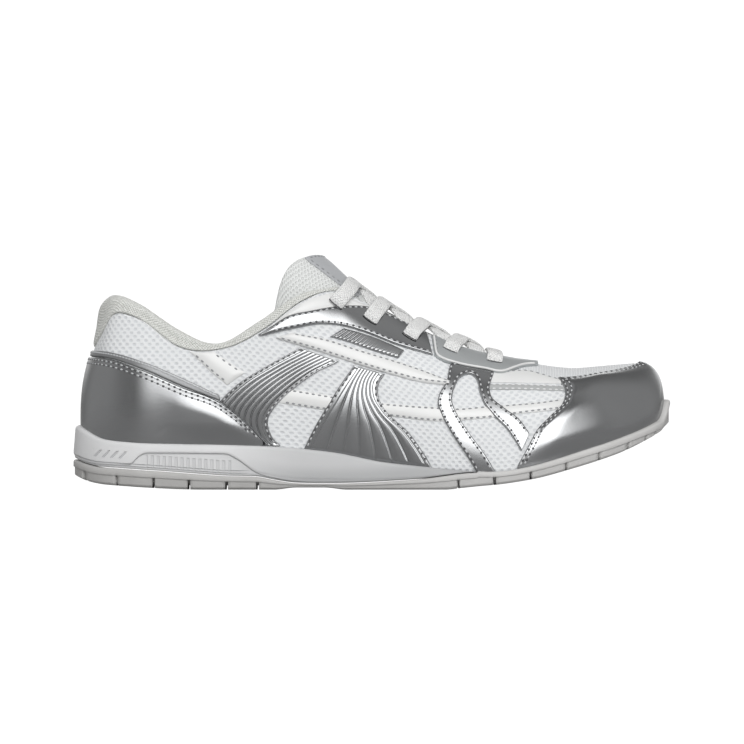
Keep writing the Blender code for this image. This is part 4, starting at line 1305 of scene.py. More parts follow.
def ease_ridge(bm):
    """Takes the sharp line out of the vamp where the two halves meet in front of the throat."""
    bmesh.ops.remove_doubles(bm, verts=bm.verts, dist=MERGE_DISTANCE)
    front = along_foot(RIDGE_FRONT)
    middle = SECTIONS[THROAT_END].ridge * MM
    verts = [vert for vert in bm.verts if vert.co.x > front and abs(vert.co.y - middle) < RIDGE_HALF]
    high = [vert for vert in verts if vert.co.z > RIDGE_RISE]
    for _ in range(RIDGE_PASSES):
        bmesh.ops.smooth_vert(bm, verts=high, factor=RIDGE_FACTOR, use_axis_z=True)


def build_upper(paints):
    """The mesh shell: one surface from the outer toe round the heel to the inner toe, with a wall."""
    behind = np.linspace(0, THROAT_STATION, SHELL_COLUMNS_BEHIND)
    ahead = np.linspace(THROAT_STATION, 1, SHELL_COLUMNS_AHEAD)
    stations = np.concatenate([behind, ahead[1:]])
    shares = np.linspace(0, 1, SHELL_ROWS)
    halves = []
    for side in (OUTER, INNER):
        rows = [upper_foot(side, stations)]
        rows += [upper_point(side, stations, np.full_like(stations, share)) for share in shares]
        halves.append(np.array(rows))
    points = np.concatenate([halves[0][:, ::-1], halves[1][:, 1:]], axis=1)
    bm = bmesh.new()
    lay_unrolled(bm, points)
    ease_ridge(bm)
    shell = add_piece("upper_shell", bm, [paints["mesh"], paints["lining"]], ["upper"])
    wall = shell.modifiers.new("wall", "SOLIDIFY")
    wall.thickness = UPPER_WALL
    wall.offset = -1
    wall.use_even_offset = False
    wall.material_offset = 1


def cuff_curve(side):
    """The crest and padding of one side's half of the cuff, running on around the heel."""
    rows = [
        (along_foot(row.along), side * row.half * MM, row.rise * MM, row.padding * MM)
        for row in CUFF_TABLE
    ]
    before = (rows[1][0], -rows[1][1], *rows[1][2:])
    knots = KNOTS[: len(CUFF_TABLE)]
    return Curve([-knots[1], *knots], [before, *rows], steady=False)


def cuff_ring(side, curve, station, count):
    """The padded roll's section: it stands on the upper's top edge and swells to both sides."""
    edge = upper_point(side, station, 1)
    row = curve(station)
    crest = row[0:3]
    padding = row[3]
    normal = plan_normal(side, station)
    rise = crest - edge
    seat = edge + unit(rise) * CLOSE_GAP
    lean = max(-np.dot(rise, normal), 0)
    belly = edge + CUFF_BELLY * rise
    shoulder = edge + CUFF_SHOULDER * rise
    ring = [
        seat + normal * CUFF_BELLY_OUT,
        belly + normal * (CUFF_BELLY_OUT + CUFF_BELLY_LEAN * lean),
        shoulder + normal * (CUFF_SHOULDER_OUT + CUFF_SHOULDER_LEAN * lean),
        crest - normal * CUFF_CREST_IN * padding,
        shoulder - normal * CUFF_SHOULDER_IN * padding,
        belly - normal * padding,
        seat - normal * CUFF_SEAT_IN * padding,
    ]
    loop = np.array([*ring[-2:], *ring, *ring[:3]])
    knots = np.arange(len(loop)) - 2
    return Curve(knots, loop, steady=False)(np.linspace(0, len(ring), count))


def build_cuff(paints):
    """The knit roll around the ankle opening."""
    last = KNOTS[len(CUFF_TABLE) - 1]
    stations = np.linspace(0, last, CUFF_RINGS)
    outer = cuff_curve(OUTER)
    inner = cuff_curve(INNER)
    rings = [cuff_ring(OUTER, outer, station, CUFF_RING_POINTS) for station in stations[::-1]]
    rings += [cuff_ring(INNER, inner, station, CUFF_RING_POINTS) for station in stations[1:]]
    bm = bmesh.new()
    lay_unrolled(bm, np.array(rings).transpose(1, 0, 2))
    close_ends(bm)
    cuff = add_piece("cuff_roll", bm, [paints["knit"]], ["collar_cuff"])


TONGUE_CURVE = Curve(
    np.linspace(0, 1, len(TONGUE_TABLE)),
    [(along_foot(row.along), row.rise * MM, row.radius * MM, row.half_width * MM) for row in TONGUE_TABLE],
    steady=False,
)


def tongue_point(way, across):
    """A point of the tongue's outside: way 0 is the sewn end and 1 the top, across runs from -1 to 1."""
    along, rise, radius, half_width = TONGUE_CURVE(way)
    run = TONGUE_CURVE(min(way + LINE_STEP, 1)) - TONGUE_CURVE(max(way - LINE_STEP, 0))
    run = unit(run[:2])
    inward = np.array([-run[1], run[0]])
    corner = max(way - TONGUE_CORNER_WAY, 0) / (1 - TONGUE_CORNER_WAY)
    across *= 1 - TONGUE_CORNER * corner**2 * abs(across)
    length = abs(across) * half_width
    turn = min(length / radius, TONGUE_TURN)
    leg = max(length - radius * TONGUE_TURN, 0)
    side = radius * math.sin(turn) + leg * math.cos(TONGUE_TURN)
    drop = radius * (1 - math.cos(turn)) + leg * math.sin(TONGUE_TURN)
    middle = SECTIONS[THROAT_END].ridge * MM * max(1 - 2 * way, 0)
    off_middle = math.hypot(across, TONGUE_MIDDLE) - TONGUE_MIDDLE
    bulge = math.sin(math.pi * min(off_middle / TONGUE_BULGE_SPAN, 1))
    reach = TONGUE_BULGE * smooth_step(TONGUE_BULGE_WAY, 1, way) * bulge
    return (
        along + inward[0] * drop + run[0] * reach,
        middle + math.copysign(side, across),
        rise + inward[1] * drop + run[1] * reach,
    )


def tongue_patch(ways, crosses):
    """A part of the tongue's outside, with its normals."""
    points = np.array([[tongue_point(way, across) for across in crosses] for way in ways])
    along = np.gradient(points, axis=0)
    across = np.gradient(points, axis=1)
    normals = unit(np.cross(across, along))
    if normals[len(ways) // 2, len(crosses) // 2, 2] < 0:
        normals = -normals
    return Patch(points, normals)


def build_tongue(paints, sewing):
    """The padded tongue, rounded off along its free edges, and its bare label."""
    ways = close_lines(count=60, length=125)
    crosses = 2 * close_lines(count=60, length=80) - 1
    patch = tongue_patch(ways, crosses)
    thickness = TONGUE_PADDING / MM
    half = 0.5 * thickness * edge_roll(patch.from_edge(), TONGUE_ROLL)
    bm = bmesh.new()
    lay_grid(bm, patch.raised(half - 0.5 * thickness), patch.flat())
    lay_grid(bm, patch.raised(-half - 0.5 * thickness), patch.flat())
    tongue = add_piece("tongue_pad", bm, [paints["tongue_mesh"]], ["tongue"])
    ways = close_lines(count=30, length=40) * LABEL_LONG + LABEL_START
    crosses = (2 * close_lines(count=40, length=40) - 1) * LABEL_HALF_WIDTH
    label = tongue_patch(ways, crosses)
    height = layer_heights(label, LABEL_HEIGHT)
    add_piece("tongue_label", pillow_mesh(label, height), [paints["label"]], ())
    for edge in ("low", "high", "start", "end"):
        sewing.border("grey", label, height, edge, LABEL_SEWING)


# Overlays


class Overlay(NamedTuple):
    """A sewn layer between two edges, the nodes it stands for, its finish and its sewing."""

    name: str
    nodes: tuple
    first: tuple
    second: tuple
    columns: int
    rows: int
    paint: str
    height: float
    crown: float
    sewing: tuple


OVERLAYS = (
    Overlay(
        "ankle_band", (),
        ((51.2, 60.4), (56, 55.8), (61.5, 50.6), (67.8, 45.6)),
        ((61.7, 60.4), (65.5, 57.8), (70, 54.8), (75.7, 51.0)),
        24, 16, "white", BAND_HEIGHT, 0.6, (("low", 1.0), ("high", 1.0)),
    ),
    Overlay(
        "lower_band", (),
        ((94, 44.2), (112.4, 41.2), (124, 39.2), (135.6, 37.8), (158.8, 36.0), (168, 35.4), (178, 35.9),
         (189, 36.7), (208.2, 38.6), (215, 39.6)),
        ((90, 37.9), (109.3, 34.9), (124, 33.3), (138.7, 32.0), (161, 29.7), (171, 30.2), (185, 31.5),
         (194.2, 32.8), (208.2, 34.3), (215, 35.2)),
        90, 14, "white", BAND_HEIGHT, 0.45, (("low", 0.8), ("high", 0.8)),
    ),
    Overlay(
        "vamp_band", (),
        ((181, 46.1), (192, 45.9), (202, 45.6), (217, 45.0)),
        ((181, 43.4), (192, 43.5), (202, 43.3), (217, 42.8)),
        40, 8, "grey_band", BAND_HEIGHT, 0.2, (("low", 0.5), ("high", 0.5)),
    ),
    Overlay(
        "vamp_side", (),
        ((182, 52.0), (188, 51.4), (194, 52.0), (199, 51.9), (205, 50.4), (211, 48.6), (217, 47.6)),
        ((181, 46.7), (188, 46.6), (194, 46.5), (199, 46.4), (205, 46.3), (211, 46.1), (217, 45.9)),
        40, 12, "white", BAND_HEIGHT, 0.2, (("low", 0.7),),
    ),
    Overlay(
        "quarter_piece", (),
        ((86.5, 71.4), (92, 75.9), (101, 81.9), (109, 84.9), (116, 86.0), (123, 83.0), (130, 79.9)),
        ((86.9, 70.9), (94, 74.6), (103.7, 77.0), (110, 78.3), (117, 78.9), (124, 78.7), (130, 78.4)),
        50, 20, "white", BAND_HEIGHT, 0.5, (),
    ),
    Overlay(
        "instep_band", ("band_instep_{side}",),
        ((96, 68.3), (111, 65.7), (126.4, 60.7), (141.7, 55.8), (152, 52.2), (161, 48.7), (165, 47.2)),
        ((88.9, 66.2), (108, 60.2), (123.3, 55.1), (138.7, 50.3), (152, 46.8), (160, 45.7), (165, 45.2)),
        60, 16, "white", OVERLAY_HEIGHT, 0.6, (("low", 1.0), ("high", 1.0)),
    ),
    Overlay(
        "rear_eyestay", ("eyestay_rear_{side}",),
        ((81.3, 67.6), (87, 71.2), (94, 75.6), (103.7, 77.9), (116.3, 79.9), (129.9, 79.4), (139, 75.8),
         (155, 67.7)),
        ((82.3, 66.8), (97, 70.2), (108.5, 72.1), (117.7, 71.4), (126.4, 69.0), (142.2, 62.9), (157.4, 58.4)),
        70, 20, "foil", OVERLAY_HEIGHT, 0.3, (("low", 1.1), ("high", 1.1)),
    ),
    Overlay(
        "front_eyestay", ("eyestay_front_{side}",),
        ((156.9, 66.9), (165, 63.0), (173, 60.3), (180, 58.4), (188, 57.0), (193, 56.1), (198, 55.45),
         (201, 55.1), (203.6, 54.85)),
        ((158.4, 57.9), (161.5, 56.0), (167.5, 54.0), (179.8, 51.6), (188, 50.3), (192.5, 51.8),
         (197.3, 53.5), (203.6, 54.1)),
        60, 20, "satin", STAY_HEIGHT, 0.2, (("start", 1.2),),
    ),
)


# The slot and the thread for each finish of the overlays
OVERLAY_FINISH = {
    "white": ("band", "grey"),
    "grey_band": ("band", "pale"),
    "foil": ("foil", "silver"),
    "satin": ("satin", "grey"),
}


class RibbedStripe(NamedTuple):
    """A silver stripe with moulded ribs along it or across it, and the border that butts on another piece."""

    name: str
    first: tuple
    second: tuple
    columns: int
    rows: int
    ribs: int
    across: bool
    butted: tuple


STRIPES = (
    RibbedStripe(
        "stripe_rear",
        ((72, 19.6), (66, 24), (62.5, 30), (63.0, 36), (66.3, 40.4), (73, 46.5), (84, 53.3), (99.6, 61.9)),
        ((91, 19.3), (87.5, 23.0), (85.6, 28.9), (86.4, 32.5), (89.5, 37.0), (95.4, 42.6), (105, 50.0),
         (116.6, 55.8)),
        80, 150, 7, False, ("start",),
    ),
    RibbedStripe(
        "stripe_middle",
        ((123.0, 54.2), (117.0, 45.5), (112.1, 37.6), (105.6, 26.7), (101.0, 17.3)),
        ((136.6, 50.2), (133.9, 45.5), (134.1, 39.8), (138.5, 32.9), (147.3, 24.6), (153.2, 16.5),
         (157.5, 9.3)),
        64, 180, 7, False, ("end",),
    ),
    RibbedStripe(
        "stripe_short",
        ((118.6, 70.3), (128, 67.5), (134, 65.3), (145, 60.5)),
        ((112.6, 66.6), (121, 64.2), (129, 61.3), (142.4, 57.1)),
        260, 24, 17, True, (),
    ),
)
RIB_BORDER = 2.3
RIB_CUT = 0.40
RIB_CUT_SHARE = 0.22
RIB_CUT_LIMITS = (0.3, 0.75)
RIB_CROWN = 0.02
THIN_RIB = 0.36
THIN_RIB_ROUNDING = 0.15
SHORT_LEAN = 0.6
TUCK_ABOVE = (-0.6, 0.2)
TUCK_AHEAD = (0, 1)

# How far in from a layer's border its stitches run, in millimetres
STRIPE_SEWING = 1.0
STRAP_SEWING = 1.2
DOUBLE_SEWING = (1.2, 3.0)
TRIM_SEWING = 1.0

# The cord around the front eyestay: grid lines in from its border, left out at its corner and at its tip
STAY_INSET = 4
STAY_CORNER = 2
STAY_TIP = 6
STAY_CORD_RADIUS = 0.5 * MM
STAY_CORD_RINGS = 120
STAY_CORD_SIDES = 10

STRAP_OUTSIDE = (
    (176.6, 7.7), (172.3, 14.6), (166.0, 24.0), (161.1, 32.9), (159.6, 37.4), (160.1, 41.0), (163.4, 47.2),
    (165.8, 54.8), (172.0, 54.2), (178.0, 53.0), (183.8, 51.8), (182.4, 44.8), (183.0, 40.5), (188.4, 35.6),
    (194.6, 31.1), (197.5, 27.6), (199.5, 24.5),
)
STRAP_INSIDE = (
    (184.6, 8.3), (180.4, 15.2), (173.5, 24.6), (168.0, 33.2), (166.2, 37.4), (166.0, 40.2), (167.2, 44.6),
    (169.2, 48.3), (171.9, 49.9), (174.6, 49.8), (176.7, 47.4), (177.7, 42.8), (179.3, 38.3), (183.9, 32.1),
    (190.1, 25.8), (193.7, 20.4), (195.9, 16.7),
)


def build_overlay(overlay, word, side, paints, sewing):
    """One overlay on one side, crowned between its edges, with its stitches."""
    patch = ribbon_patch(side, overlay.first, overlay.second, overlay.columns, overlay.rows)
    crown = overlay.crown * np.sin(math.pi * patch.across / patch.across[-1:])
    height = layer_heights(patch, overlay.height, crown)
    name = f"{overlay.name}_{word}"
    nodes = [node.format(side=word) for node in overlay.nodes]
    slot, thread_name = OVERLAY_FINISH[overlay.paint]
    add_piece(name, pillow_mesh(patch, height), [paints[overlay.paint]], nodes)
    for edge, inset in overlay.sewing:
        sewing.border(thread_name, patch, height, edge, inset)
    return patch, height


def stripe_relief(stripe, patch):
    """Ribs along a stripe are crowned bars between narrow cuts; ribs across it are steep pleats."""
    if stripe.across:
        wave = patch.along / patch.along[:, -1:] * stripe.ribs
        from_crest = 2 * np.abs(wave - np.floor(wave) - 0.5)
        lean = SHORT_LEAN * (1 - patch.across / patch.across[-1:])
        return THIN_RIB * (1 - np.hypot(from_crest, THIN_RIB_ROUNDING)) + lean
    width = patch.across[-1:] - 2 * RIB_BORDER
    wave = np.clip((patch.across - RIB_BORDER) / width, 0, 1) * stripe.ribs
    pitch = width / stripe.ribs
    away = np.abs(wave - np.round(wave)) * pitch
    cut = 1 - smooth_step(0, np.clip(RIB_CUT_SHARE * pitch, *RIB_CUT_LIMITS), away)
    crown = RIB_CROWN * pitch * np.sin(math.pi * (wave - np.floor(wave))) ** 2
    return crown - RIB_CUT * cut


def over_counter(patch):
    """0 for the part of a stripe that is tucked under the heel counter and 1 for the rest."""
    line = drawn_line(COUNTER_TOP)
    above = (patch.points[..., 2] - line(patch.points[..., 0])[..., 0]) / MM
    ahead = drawn_along(patch.points[..., 0]) - COUNTER_FRONT
    return np.maximum(smooth_step(*TUCK_ABOVE, above), smooth_step(*TUCK_AHEAD, ahead))


def build_stripe(stripe, word, side, paints, sewing):
    """One ribbed stripe on one side; the fan, which butts on the sole at its end, swells towards it."""
    patch = ribbon_patch(side, stripe.first, stripe.second, stripe.columns, stripe.rows)
    relief = stripe_relief(stripe, patch)
    if "end" in stripe.butted:
        relief = relief + FAN_SWELL * smooth_step(0, FAN_SWELL_REACH, patch.along)
    height = layer_heights(patch, STRIPE_HEIGHT, relief, stripe.butted)
    height = SEAT + (height - SEAT) * (TUCKED_SHARE + (1 - TUCKED_SHARE) * over_counter(patch))
    nodes = [f"{stripe.name}_{word}"]
    add_piece(f"ribbed_{stripe.name}_{word}", pillow_mesh(patch, height), [paints["foil"]], nodes)
    for edge in () if stripe.across else ("low", "high"):
        sewing.border("silver", patch, height, edge, STRIPE_SEWING)


def build_strap(word, side, paints, sewing):
    """The silver strap with two legs that join at the top."""
    patch = ribbon_patch(side, STRAP_OUTSIDE, STRAP_INSIDE, columns=120, rows=14)
    height = layer_heights(patch, OVERLAY_HEIGHT, 0.0, ("start", "end"))
    nodes = [f"strap_rear_leg_{word}", f"strap_front_leg_{word}"]
    add_piece(f"double_strap_{word}", pillow_mesh(patch, height), [paints["foil"]], nodes)
    for edge in ("low", "high"):
        sewing.border("silver", patch, height, edge, STRAP_SEWING)


def creased(patch, creases):
    """The depth of soft creases, each drawn as a line with a depth and a half width."""
    along = drawn_along(patch.points[..., 0])
    rise = patch.points[..., 2] / MM
    total = np.zeros_like(along)
    for first_along, first_rise, last_along, last_rise, depth, half_width in creases:
        run = np.array([last_along - first_along, last_rise - first_rise])
        length = np.linalg.norm(run)
        run /= length
        way = (along - first_along) * run[0] + (rise - first_rise) * run[1]
        off = (rise - first_rise) * run[0] - (along - first_along) * run[1]
        fade = np.sin(math.pi * np.clip(way / length, 0, 1))
        total += depth * fade * np.exp(-((off / half_width) ** 2))
    return total


def level_starts(front, parts):
    """The same starting station on both sides, for each part of a panel's height."""
    station = station_at(along_foot(front))
    return {side: np.full(len(parts), station) for side in (OUTER, INNER)}


def build_counter(paints, sewing):
    """The heel counter with a double row of stitches."""
    parts = close_lines(count=64, length=34)
    high_share = partial(share_on_line, line=drawn_line(COUNTER_TOP))
    starts = level_starts(COUNTER_FRONT, parts)
    patch = wrapped_patch(starts, parts, HEEL_MIDDLE, share_over_rim, high_share, columns=190)
    borders = patch.from_borders()
    swell = COUNTER_SWELL * smooth_step(*COUNTER_SWELL_ALONG, drawn_along(patch.points[..., 0]))
    swell = swell * smooth_step(*COUNTER_SWELL_HIGH, borders["high"])
    swell = swell * smooth_step(*COUNTER_SWELL_LOW, borders["low"])
    height = layer_heights(patch, OVERLAY_HEIGHT, swell - creased(patch, COUNTER_CREASES), ("low",))
    add_piece("heel_counter_foil", pillow_mesh(patch, height), [paints["foil"]], ["heel_counter"])
    for inset in DOUBLE_SEWING:
        sewing.border("silver", patch, height, "high", inset)


def build_trim(paints, sewing):
    """The narrow trim above the counter."""
    parts = close_lines(count=8, length=3)
    low_share = partial(share_on_line, line=drawn_line(TRIM_LOW))
    high_share = partial(share_on_line, line=drawn_line(TRIM_TOP))
    starts = level_starts(TRIM_FRONT, parts)
    trim = wrapped_patch(starts, parts, HEEL_MIDDLE, low_share, high_share, columns=60)
    height = layer_heights(trim, TRIM_HEIGHT)
    add_piece("counter_trim_band", pillow_mesh(trim, height), [paints["dull"]], ["counter_trim"])
    sewing.border("rope", trim, height, "high", TRIM_SEWING, ROPE_PITCH)


def evened(patch, reach):
    """The push in or out that takes waves of a few millimetres out of a patch's rows, with the ends kept."""
    push = np.zeros_like(patch.along)
    step = SMOOTHING_STEP
    offsets = np.arange(-SMOOTHING_SPAN * reach, SMOOTHING_SPAN * reach + step, step)
    weights = np.exp(-0.5 * (offsets / reach) ** 2)
    weights /= weights.sum()
    margin = len(offsets) // 2
    for row, (points, way) in enumerate(zip(patch.points, patch.along)):
        at = np.linspace(0, way[-1], int(way[-1] / step) + 2)
        line = np.stack([np.interp(at, way, points[:, axis]) for axis in range(3)], axis=1)
        rough = line.copy()
        for _ in range(SMOOTHING_PASSES):
            before = 2 * rough[:1] - rough[margin:0:-1]
            after = 2 * rough[-1:] - rough[-2 : -margin - 2 : -1]
            padded = np.concatenate([before, rough, after])
            soft = np.stack([np.convolve(padded[:, axis], weights, "valid") for axis in range(3)], axis=1)
            rough = rough - soft
        waves = np.stack([np.interp(way, at, rough[:, axis]) for axis in range(3)], axis=1)
        push[row] = -np.sum(waves * patch.normals[row], axis=1) / MM
    return push


def cap_starts(side, top, parts):
    """The stations of the toe cap's rear edge at some parts of its height."""
    places = drawn_edge(CAP_REAR, np.linspace(0, 1, CAP_REAR_PLACES))
    stations, shares = find_on_upper(side, places[:, 0], places[:, 1])
    low = np.array([share_over_rim(side, station) for station in stations])
    high = np.array([share_on_line(side, station, top) for station in stations])
    reached = np.maximum.accumulate((shares - low) / (high - low))
    return np.interp(parts, reached, stations)


def build_cap(paints, sewing):
    """The silver toe cap with double stitching along its rear and top edges."""
    top = drawn_line(CAP_TOP)
    parts = close_lines(count=44, length=46)
    starts = {side: cap_starts(side, top, parts) for side in (OUTER, INNER)}
    high_share = partial(share_on_line, line=top)
    patch = wrapped_patch(starts, parts, TOE_MIDDLE, share_over_rim, high_share, columns=60)
    borders = patch.from_borders()
    low = borders["low"]
    inward = np.minimum(borders["start"], borders["end"])
    ridge = CAP_RIDGE * smooth_step(*CAP_RIDGE_INWARD, inward) * smooth_step(*CAP_RIDGE_LOW, low)
    behind_tip = smooth_step(*CAP_CHEEK_ALONG, drawn_along(patch.points[..., 0]))
    cheek = CAP_CHEEK * behind_tip * smooth_step(*CAP_CHEEK_LOW, low) * smooth_step(*CAP_CHEEK_INWARD, inward)
    swell = (ridge + cheek) * smooth_step(*CAP_SWELL_HIGH, borders["high"])
    swell = swell + behind_tip * evened(patch, CAP_SMOOTHING)
    height = layer_heights(patch, OVERLAY_HEIGHT, swell, ("low",))
    add_piece("toe_cap_foil", pillow_mesh(patch, height), [paints["foil"]], ["toe_cap"])
    for inset in DOUBLE_SEWING:
        for edge in ("high", "start", "end"):
            sewing.border("silver", patch, height, edge, inset)


def tube_mesh(bm, places, normals, radius, sides):
    """A round cord along a line of places."""
    run = unit(np.gradient(places, axis=0))
    wide = unit(np.cross(run, normals))
    up = np.cross(wide, run)
    turns = np.linspace(0, 2 * math.pi, sides + 1)
    ring = np.cos(turns)[:, None, None] * wide + np.sin(turns)[:, None, None] * up
    lay_unrolled(bm, places + radius * ring)


def build_stay_edge(patch, height, word, paints):
    """The thick white cut edge around the front eyestay."""
    lifted = patch.raised(height)
    down = (slice(STAY_INSET, -STAY_INSET - STAY_CORNER), STAY_INSET)
    along = (-STAY_INSET, slice(STAY_INSET + STAY_CORNER, -STAY_TIP))
    places = np.concatenate([lifted[down], lifted[along]])
    turns = np.concatenate([patch.normals[down], patch.normals[along]])
    line, _ = curve_along(places)
    turn = Curve(line.knots, turns, steady=False)
    at = np.linspace(0, 1, STAY_CORD_RINGS)
    bm = bmesh.new()
    tube_mesh(bm, line(at), turn(at), STAY_CORD_RADIUS, STAY_CORD_SIDES)
    close_ends(bm)
    add_piece(f"eyestay_edge_{word}", bm, [paints["white"]], ())


# Lacing


def throat_edge(side, along):
    """A point on the throat's edge at a place along the foot, with the surface's normal there."""
    stations = np.linspace(KNOTS[THROAT_TOP], THROAT_STATION, THROAT_PLACES)
    edge = upper_point(side, stations, 1)
    station = np.interp(along, edge[:, 0], stations)
    return upper_point(side, station, 1), upper_normal(side, station, NEAR_TOP)


def lace_path(side, lace, crown_lift):
    """Places and normals of one strand: out of its slot, over the tongue and in under the other edge."""
    begin = along_foot(lace.exit_along)
    finish = along_foot(lace.end_along)
    station, share = find_on_upper(side, np.array([begin]), np.array([lace.exit_rise * MM]))
    exit_normal = upper_normal(side, station, share)[0]
    surface = upper_point(side, station, share)[0]
    exit_place = surface + exit_normal * LACE_OVER_STAY
    to_crown = (lace.crown_along - lace.exit_along) * MM
    near, near_normal = throat_edge(side, begin + LACE_NEAR_SHARE * to_crown)
    far, far_normal = throat_edge(-side, finish)
    middle = 0.5 * (near[1] + far[1])
    crown = np.array([along_foot(lace.crown_along), middle, lace.crown_rise * MM + crown_lift])
    crown_normal = unit(near_normal + far_normal)
    near_place = near + near_normal * LACE_OVER_STAY
    back = unit(exit_place - near_place)
    dip = exit_place + back * LACE_DIP_BACK - exit_normal * LACE_DIP_DOWN
    under = far - far_normal * LACE_UNDER_EDGE
    onward = np.cross(far_normal, np.cross(under - crown, far_normal))
    end = under + unit(onward) * LACE_TUCK
    tilt = unit(crown_normal + far_normal + np.array([0, -side * LACE_TWIST, 0]))
    arch = 0.5 * (crown + under) + tilt * LACE_ARCH
    places = [dip, exit_place, near_place, crown, arch, under, end]
    normals = [exit_normal + back, exit_normal, near_normal, crown_normal, tilt, far_normal, far_normal]
    slot_place = surface + exit_normal * STAY_HEIGHT * MM + back * SLOT_BACK
    return places, normals, (slot_place, back, exit_normal)


def strand_mesh(bm, places, normals):
    """One flat strand with rounded edges."""
    line, _ = curve_along(places)
    turn = Curve(line.knots, normals, steady=False)
    at = np.linspace(0, 1, LACE_RINGS)
    run = unit(line(at + LINE_STEP) - line(at - LINE_STEP))
    wide = unit(np.cross(run, turn(at)))
    up = np.cross(wide, run)
    turns = np.linspace(0, 2 * math.pi, LACE_RING_POINTS)
    wide_square, up_square = LACE_SQUARENESS
    wide_share = np.sign(np.cos(turns)) * np.abs(np.cos(turns)) ** wide_square
    up_share = np.sign(np.sin(turns)) * np.abs(np.sin(turns)) ** up_square
    points = (
        line(at)
        + wide_share[:, None, None] * wide * LACE_WIDTH / 2
        + up_share[:, None, None] * up * LACE_THICKNESS / 2
    )
    lay_unrolled(bm, points)


def slot_mesh(bm, place, back, normal):
    """A narrow dark bead of painted shade in the slot where a strand goes in."""
    directions = (np.cross(back, normal), back, normal)
    axes = [direction * size for direction, size in zip(directions, SLOT_SIZES)]
    ball_mesh(bm, place, axes, segments=20, rings=8)


def build_laces(paints):
    """Four crossings and the bar at the throat's front, each going in at its slots."""
    slots = bmesh.new()
    for number, lace in enumerate(LACE_TABLE[:-1], 1):
        bm = bmesh.new()
        for side, lift in ((OUTER, LACE_OVER), (INNER, LACE_BELOW)):
            places, normals, slot = lace_path(side, lace, lift)
            strand_mesh(bm, places, normals)
            slot_mesh(slots, *slot)
        close_ends(bm)
        add_piece(f"lace_cross_{number}", bm, [paints["elastic"]], [f"lace_crossing_{number}"])
    lace = LACE_TABLE[-1]
    places, normals, slot = lace_path(OUTER, lace, 0)
    others, other_normals, other_slot = lace_path(INNER, lace, 0)
    bm = bmesh.new()
    strand_mesh(bm, [*places[:4], *others[2::-1]], [*normals[:4], *other_normals[2::-1]])
    slot_mesh(slots, *slot)
    slot_mesh(slots, *other_slot)
    close_ends(bm)
    add_piece("lace_front_bar", bm, [paints["elastic"]], ["lace_bar"])
    # The slots are dark beads of painted shade.
    add_piece("lace_slot_shade", slots, [paints["slot"]], ())


# Sole

CORNER_SHARE = 0.3
SMALLEST_LENGTH = 1e-9


def at_height(points, height):
    """The same places in plan at another height."""
    moved = points.copy()
    moved[..., 2] = height
    return moved


def midsole_side(side, station):
    """One side of the midsole's ring: under the tread line, up the side, over the rim and down to the bed."""
    row = SIDE_CURVES[side](station)
    normal = plan_normal(side, station)
    line = row[FOOT]
    flare = row[FLARE]
    outside = line + normal * flare
    _, tread, panel, _, core = sole_heights(outside)
    rim = rim_height(side, station)
    base = tread + FIT_GAP
    tall = rim - base
    step_low = np.clip(panel, base + PANEL_LOWEST * tall, base + PANEL_HIGHEST * tall)
    step_high = step_low + PANEL_STEP * tall
    depth = PANEL_DEPTH * np.clip((panel - tread) / PANEL_FADE, 0, 1)
    foot = upper_foot(side, station)
    bed = foot[2] - FIT_GAP
    shoulder = max(rim - RIM_SHOULDER_DROP, step_high + RIM_SHOULDER_SHARE * (rim - step_high))
    shoulder_out = max(RIM_SHOULDER_OUT, RIM_SHOULDER_FLARE * flare)
    inner_base = outside - normal * (RAND_WIDTH + FIT_GAP)
    return [
        at_height(inner_base, min(core + FIT_GAP, base)),
        at_height(inner_base + normal * FIT_GAP, base),
        at_height(outside - normal * (depth + EDGE_BEVEL), base),
        at_height(outside - normal * depth, base + PANEL_FOOT * tall),
        at_height(outside - normal * depth, step_low),
        at_height(outside, step_high),
        at_height(line + normal * shoulder_out, shoulder),
        at_height(line + normal * RIM_TOP_OUT, rim),
        at_height(line + normal * FIT_GAP, rim - RIM_INSIDE_DROP),
        at_height(foot + normal * (FIT_GAP + BED_GAP), bed),
    ]


def outsole_side(side, station, grooved):
    """One side of the outsole's ring: from the middle of its ground out, up the side and in over the top."""
    row = SIDE_CURVES[side](station)
    normal = plan_normal(side, station)
    line = row[FOOT]
    outside = line + normal * row[FLARE]
    ground, tread, _, _, core = sole_heights(outside)
    carries_rim = drawn_along(line[0]) * MM > MIDSOLE_FRONT
    top = rim_height(side, station) if carries_rim else tread
    rand = top - RAND_SHARE * (tread - ground)
    bevel = min(GROUND_BEVEL_SHARE * (rand - ground), GROUND_BEVEL)
    cut = 0
    if grooved:
        ground = min(ground + GROOVE_DEPTH, rand - GROOVE_LEFT - bevel)
        cut = GROOVE_REACH
    foot = upper_foot(side, station)
    if carries_rim:
        lip = upper_at_height(side, station, top) + normal * CLOSE_GAP
        neck = line + normal * FIT_GAP
        neck_height = line[2] - NECK_DROP
        floor = foot + normal * (FIT_GAP + FLOOR_GAP)
        floor_height = foot[2] - FIT_GAP
    else:
        lip = outside - normal * RAND_WIDTH
        neck = lip - normal * CORE_STEP
        neck_height = min(core, tread - CORE_DROP)
        floor = neck - normal * CORE_STEP
        floor_height = neck_height
    inset = outside - normal * (RAND_STEP + cut)
    return [
        at_height(inset - normal * LUG_BEVEL, ground),
        at_height(inset, ground + bevel),
        at_height(inset, rand),
        at_height(outside, rand + RAND_LEDGE),
        at_height(outside, top - EDGE_BEVEL),
        at_height(outside - normal * EDGE_BEVEL, top),
        at_height(lip, top - LIP_DROP),
        at_height(neck, neck_height),
        at_height(floor, floor_height),
    ]


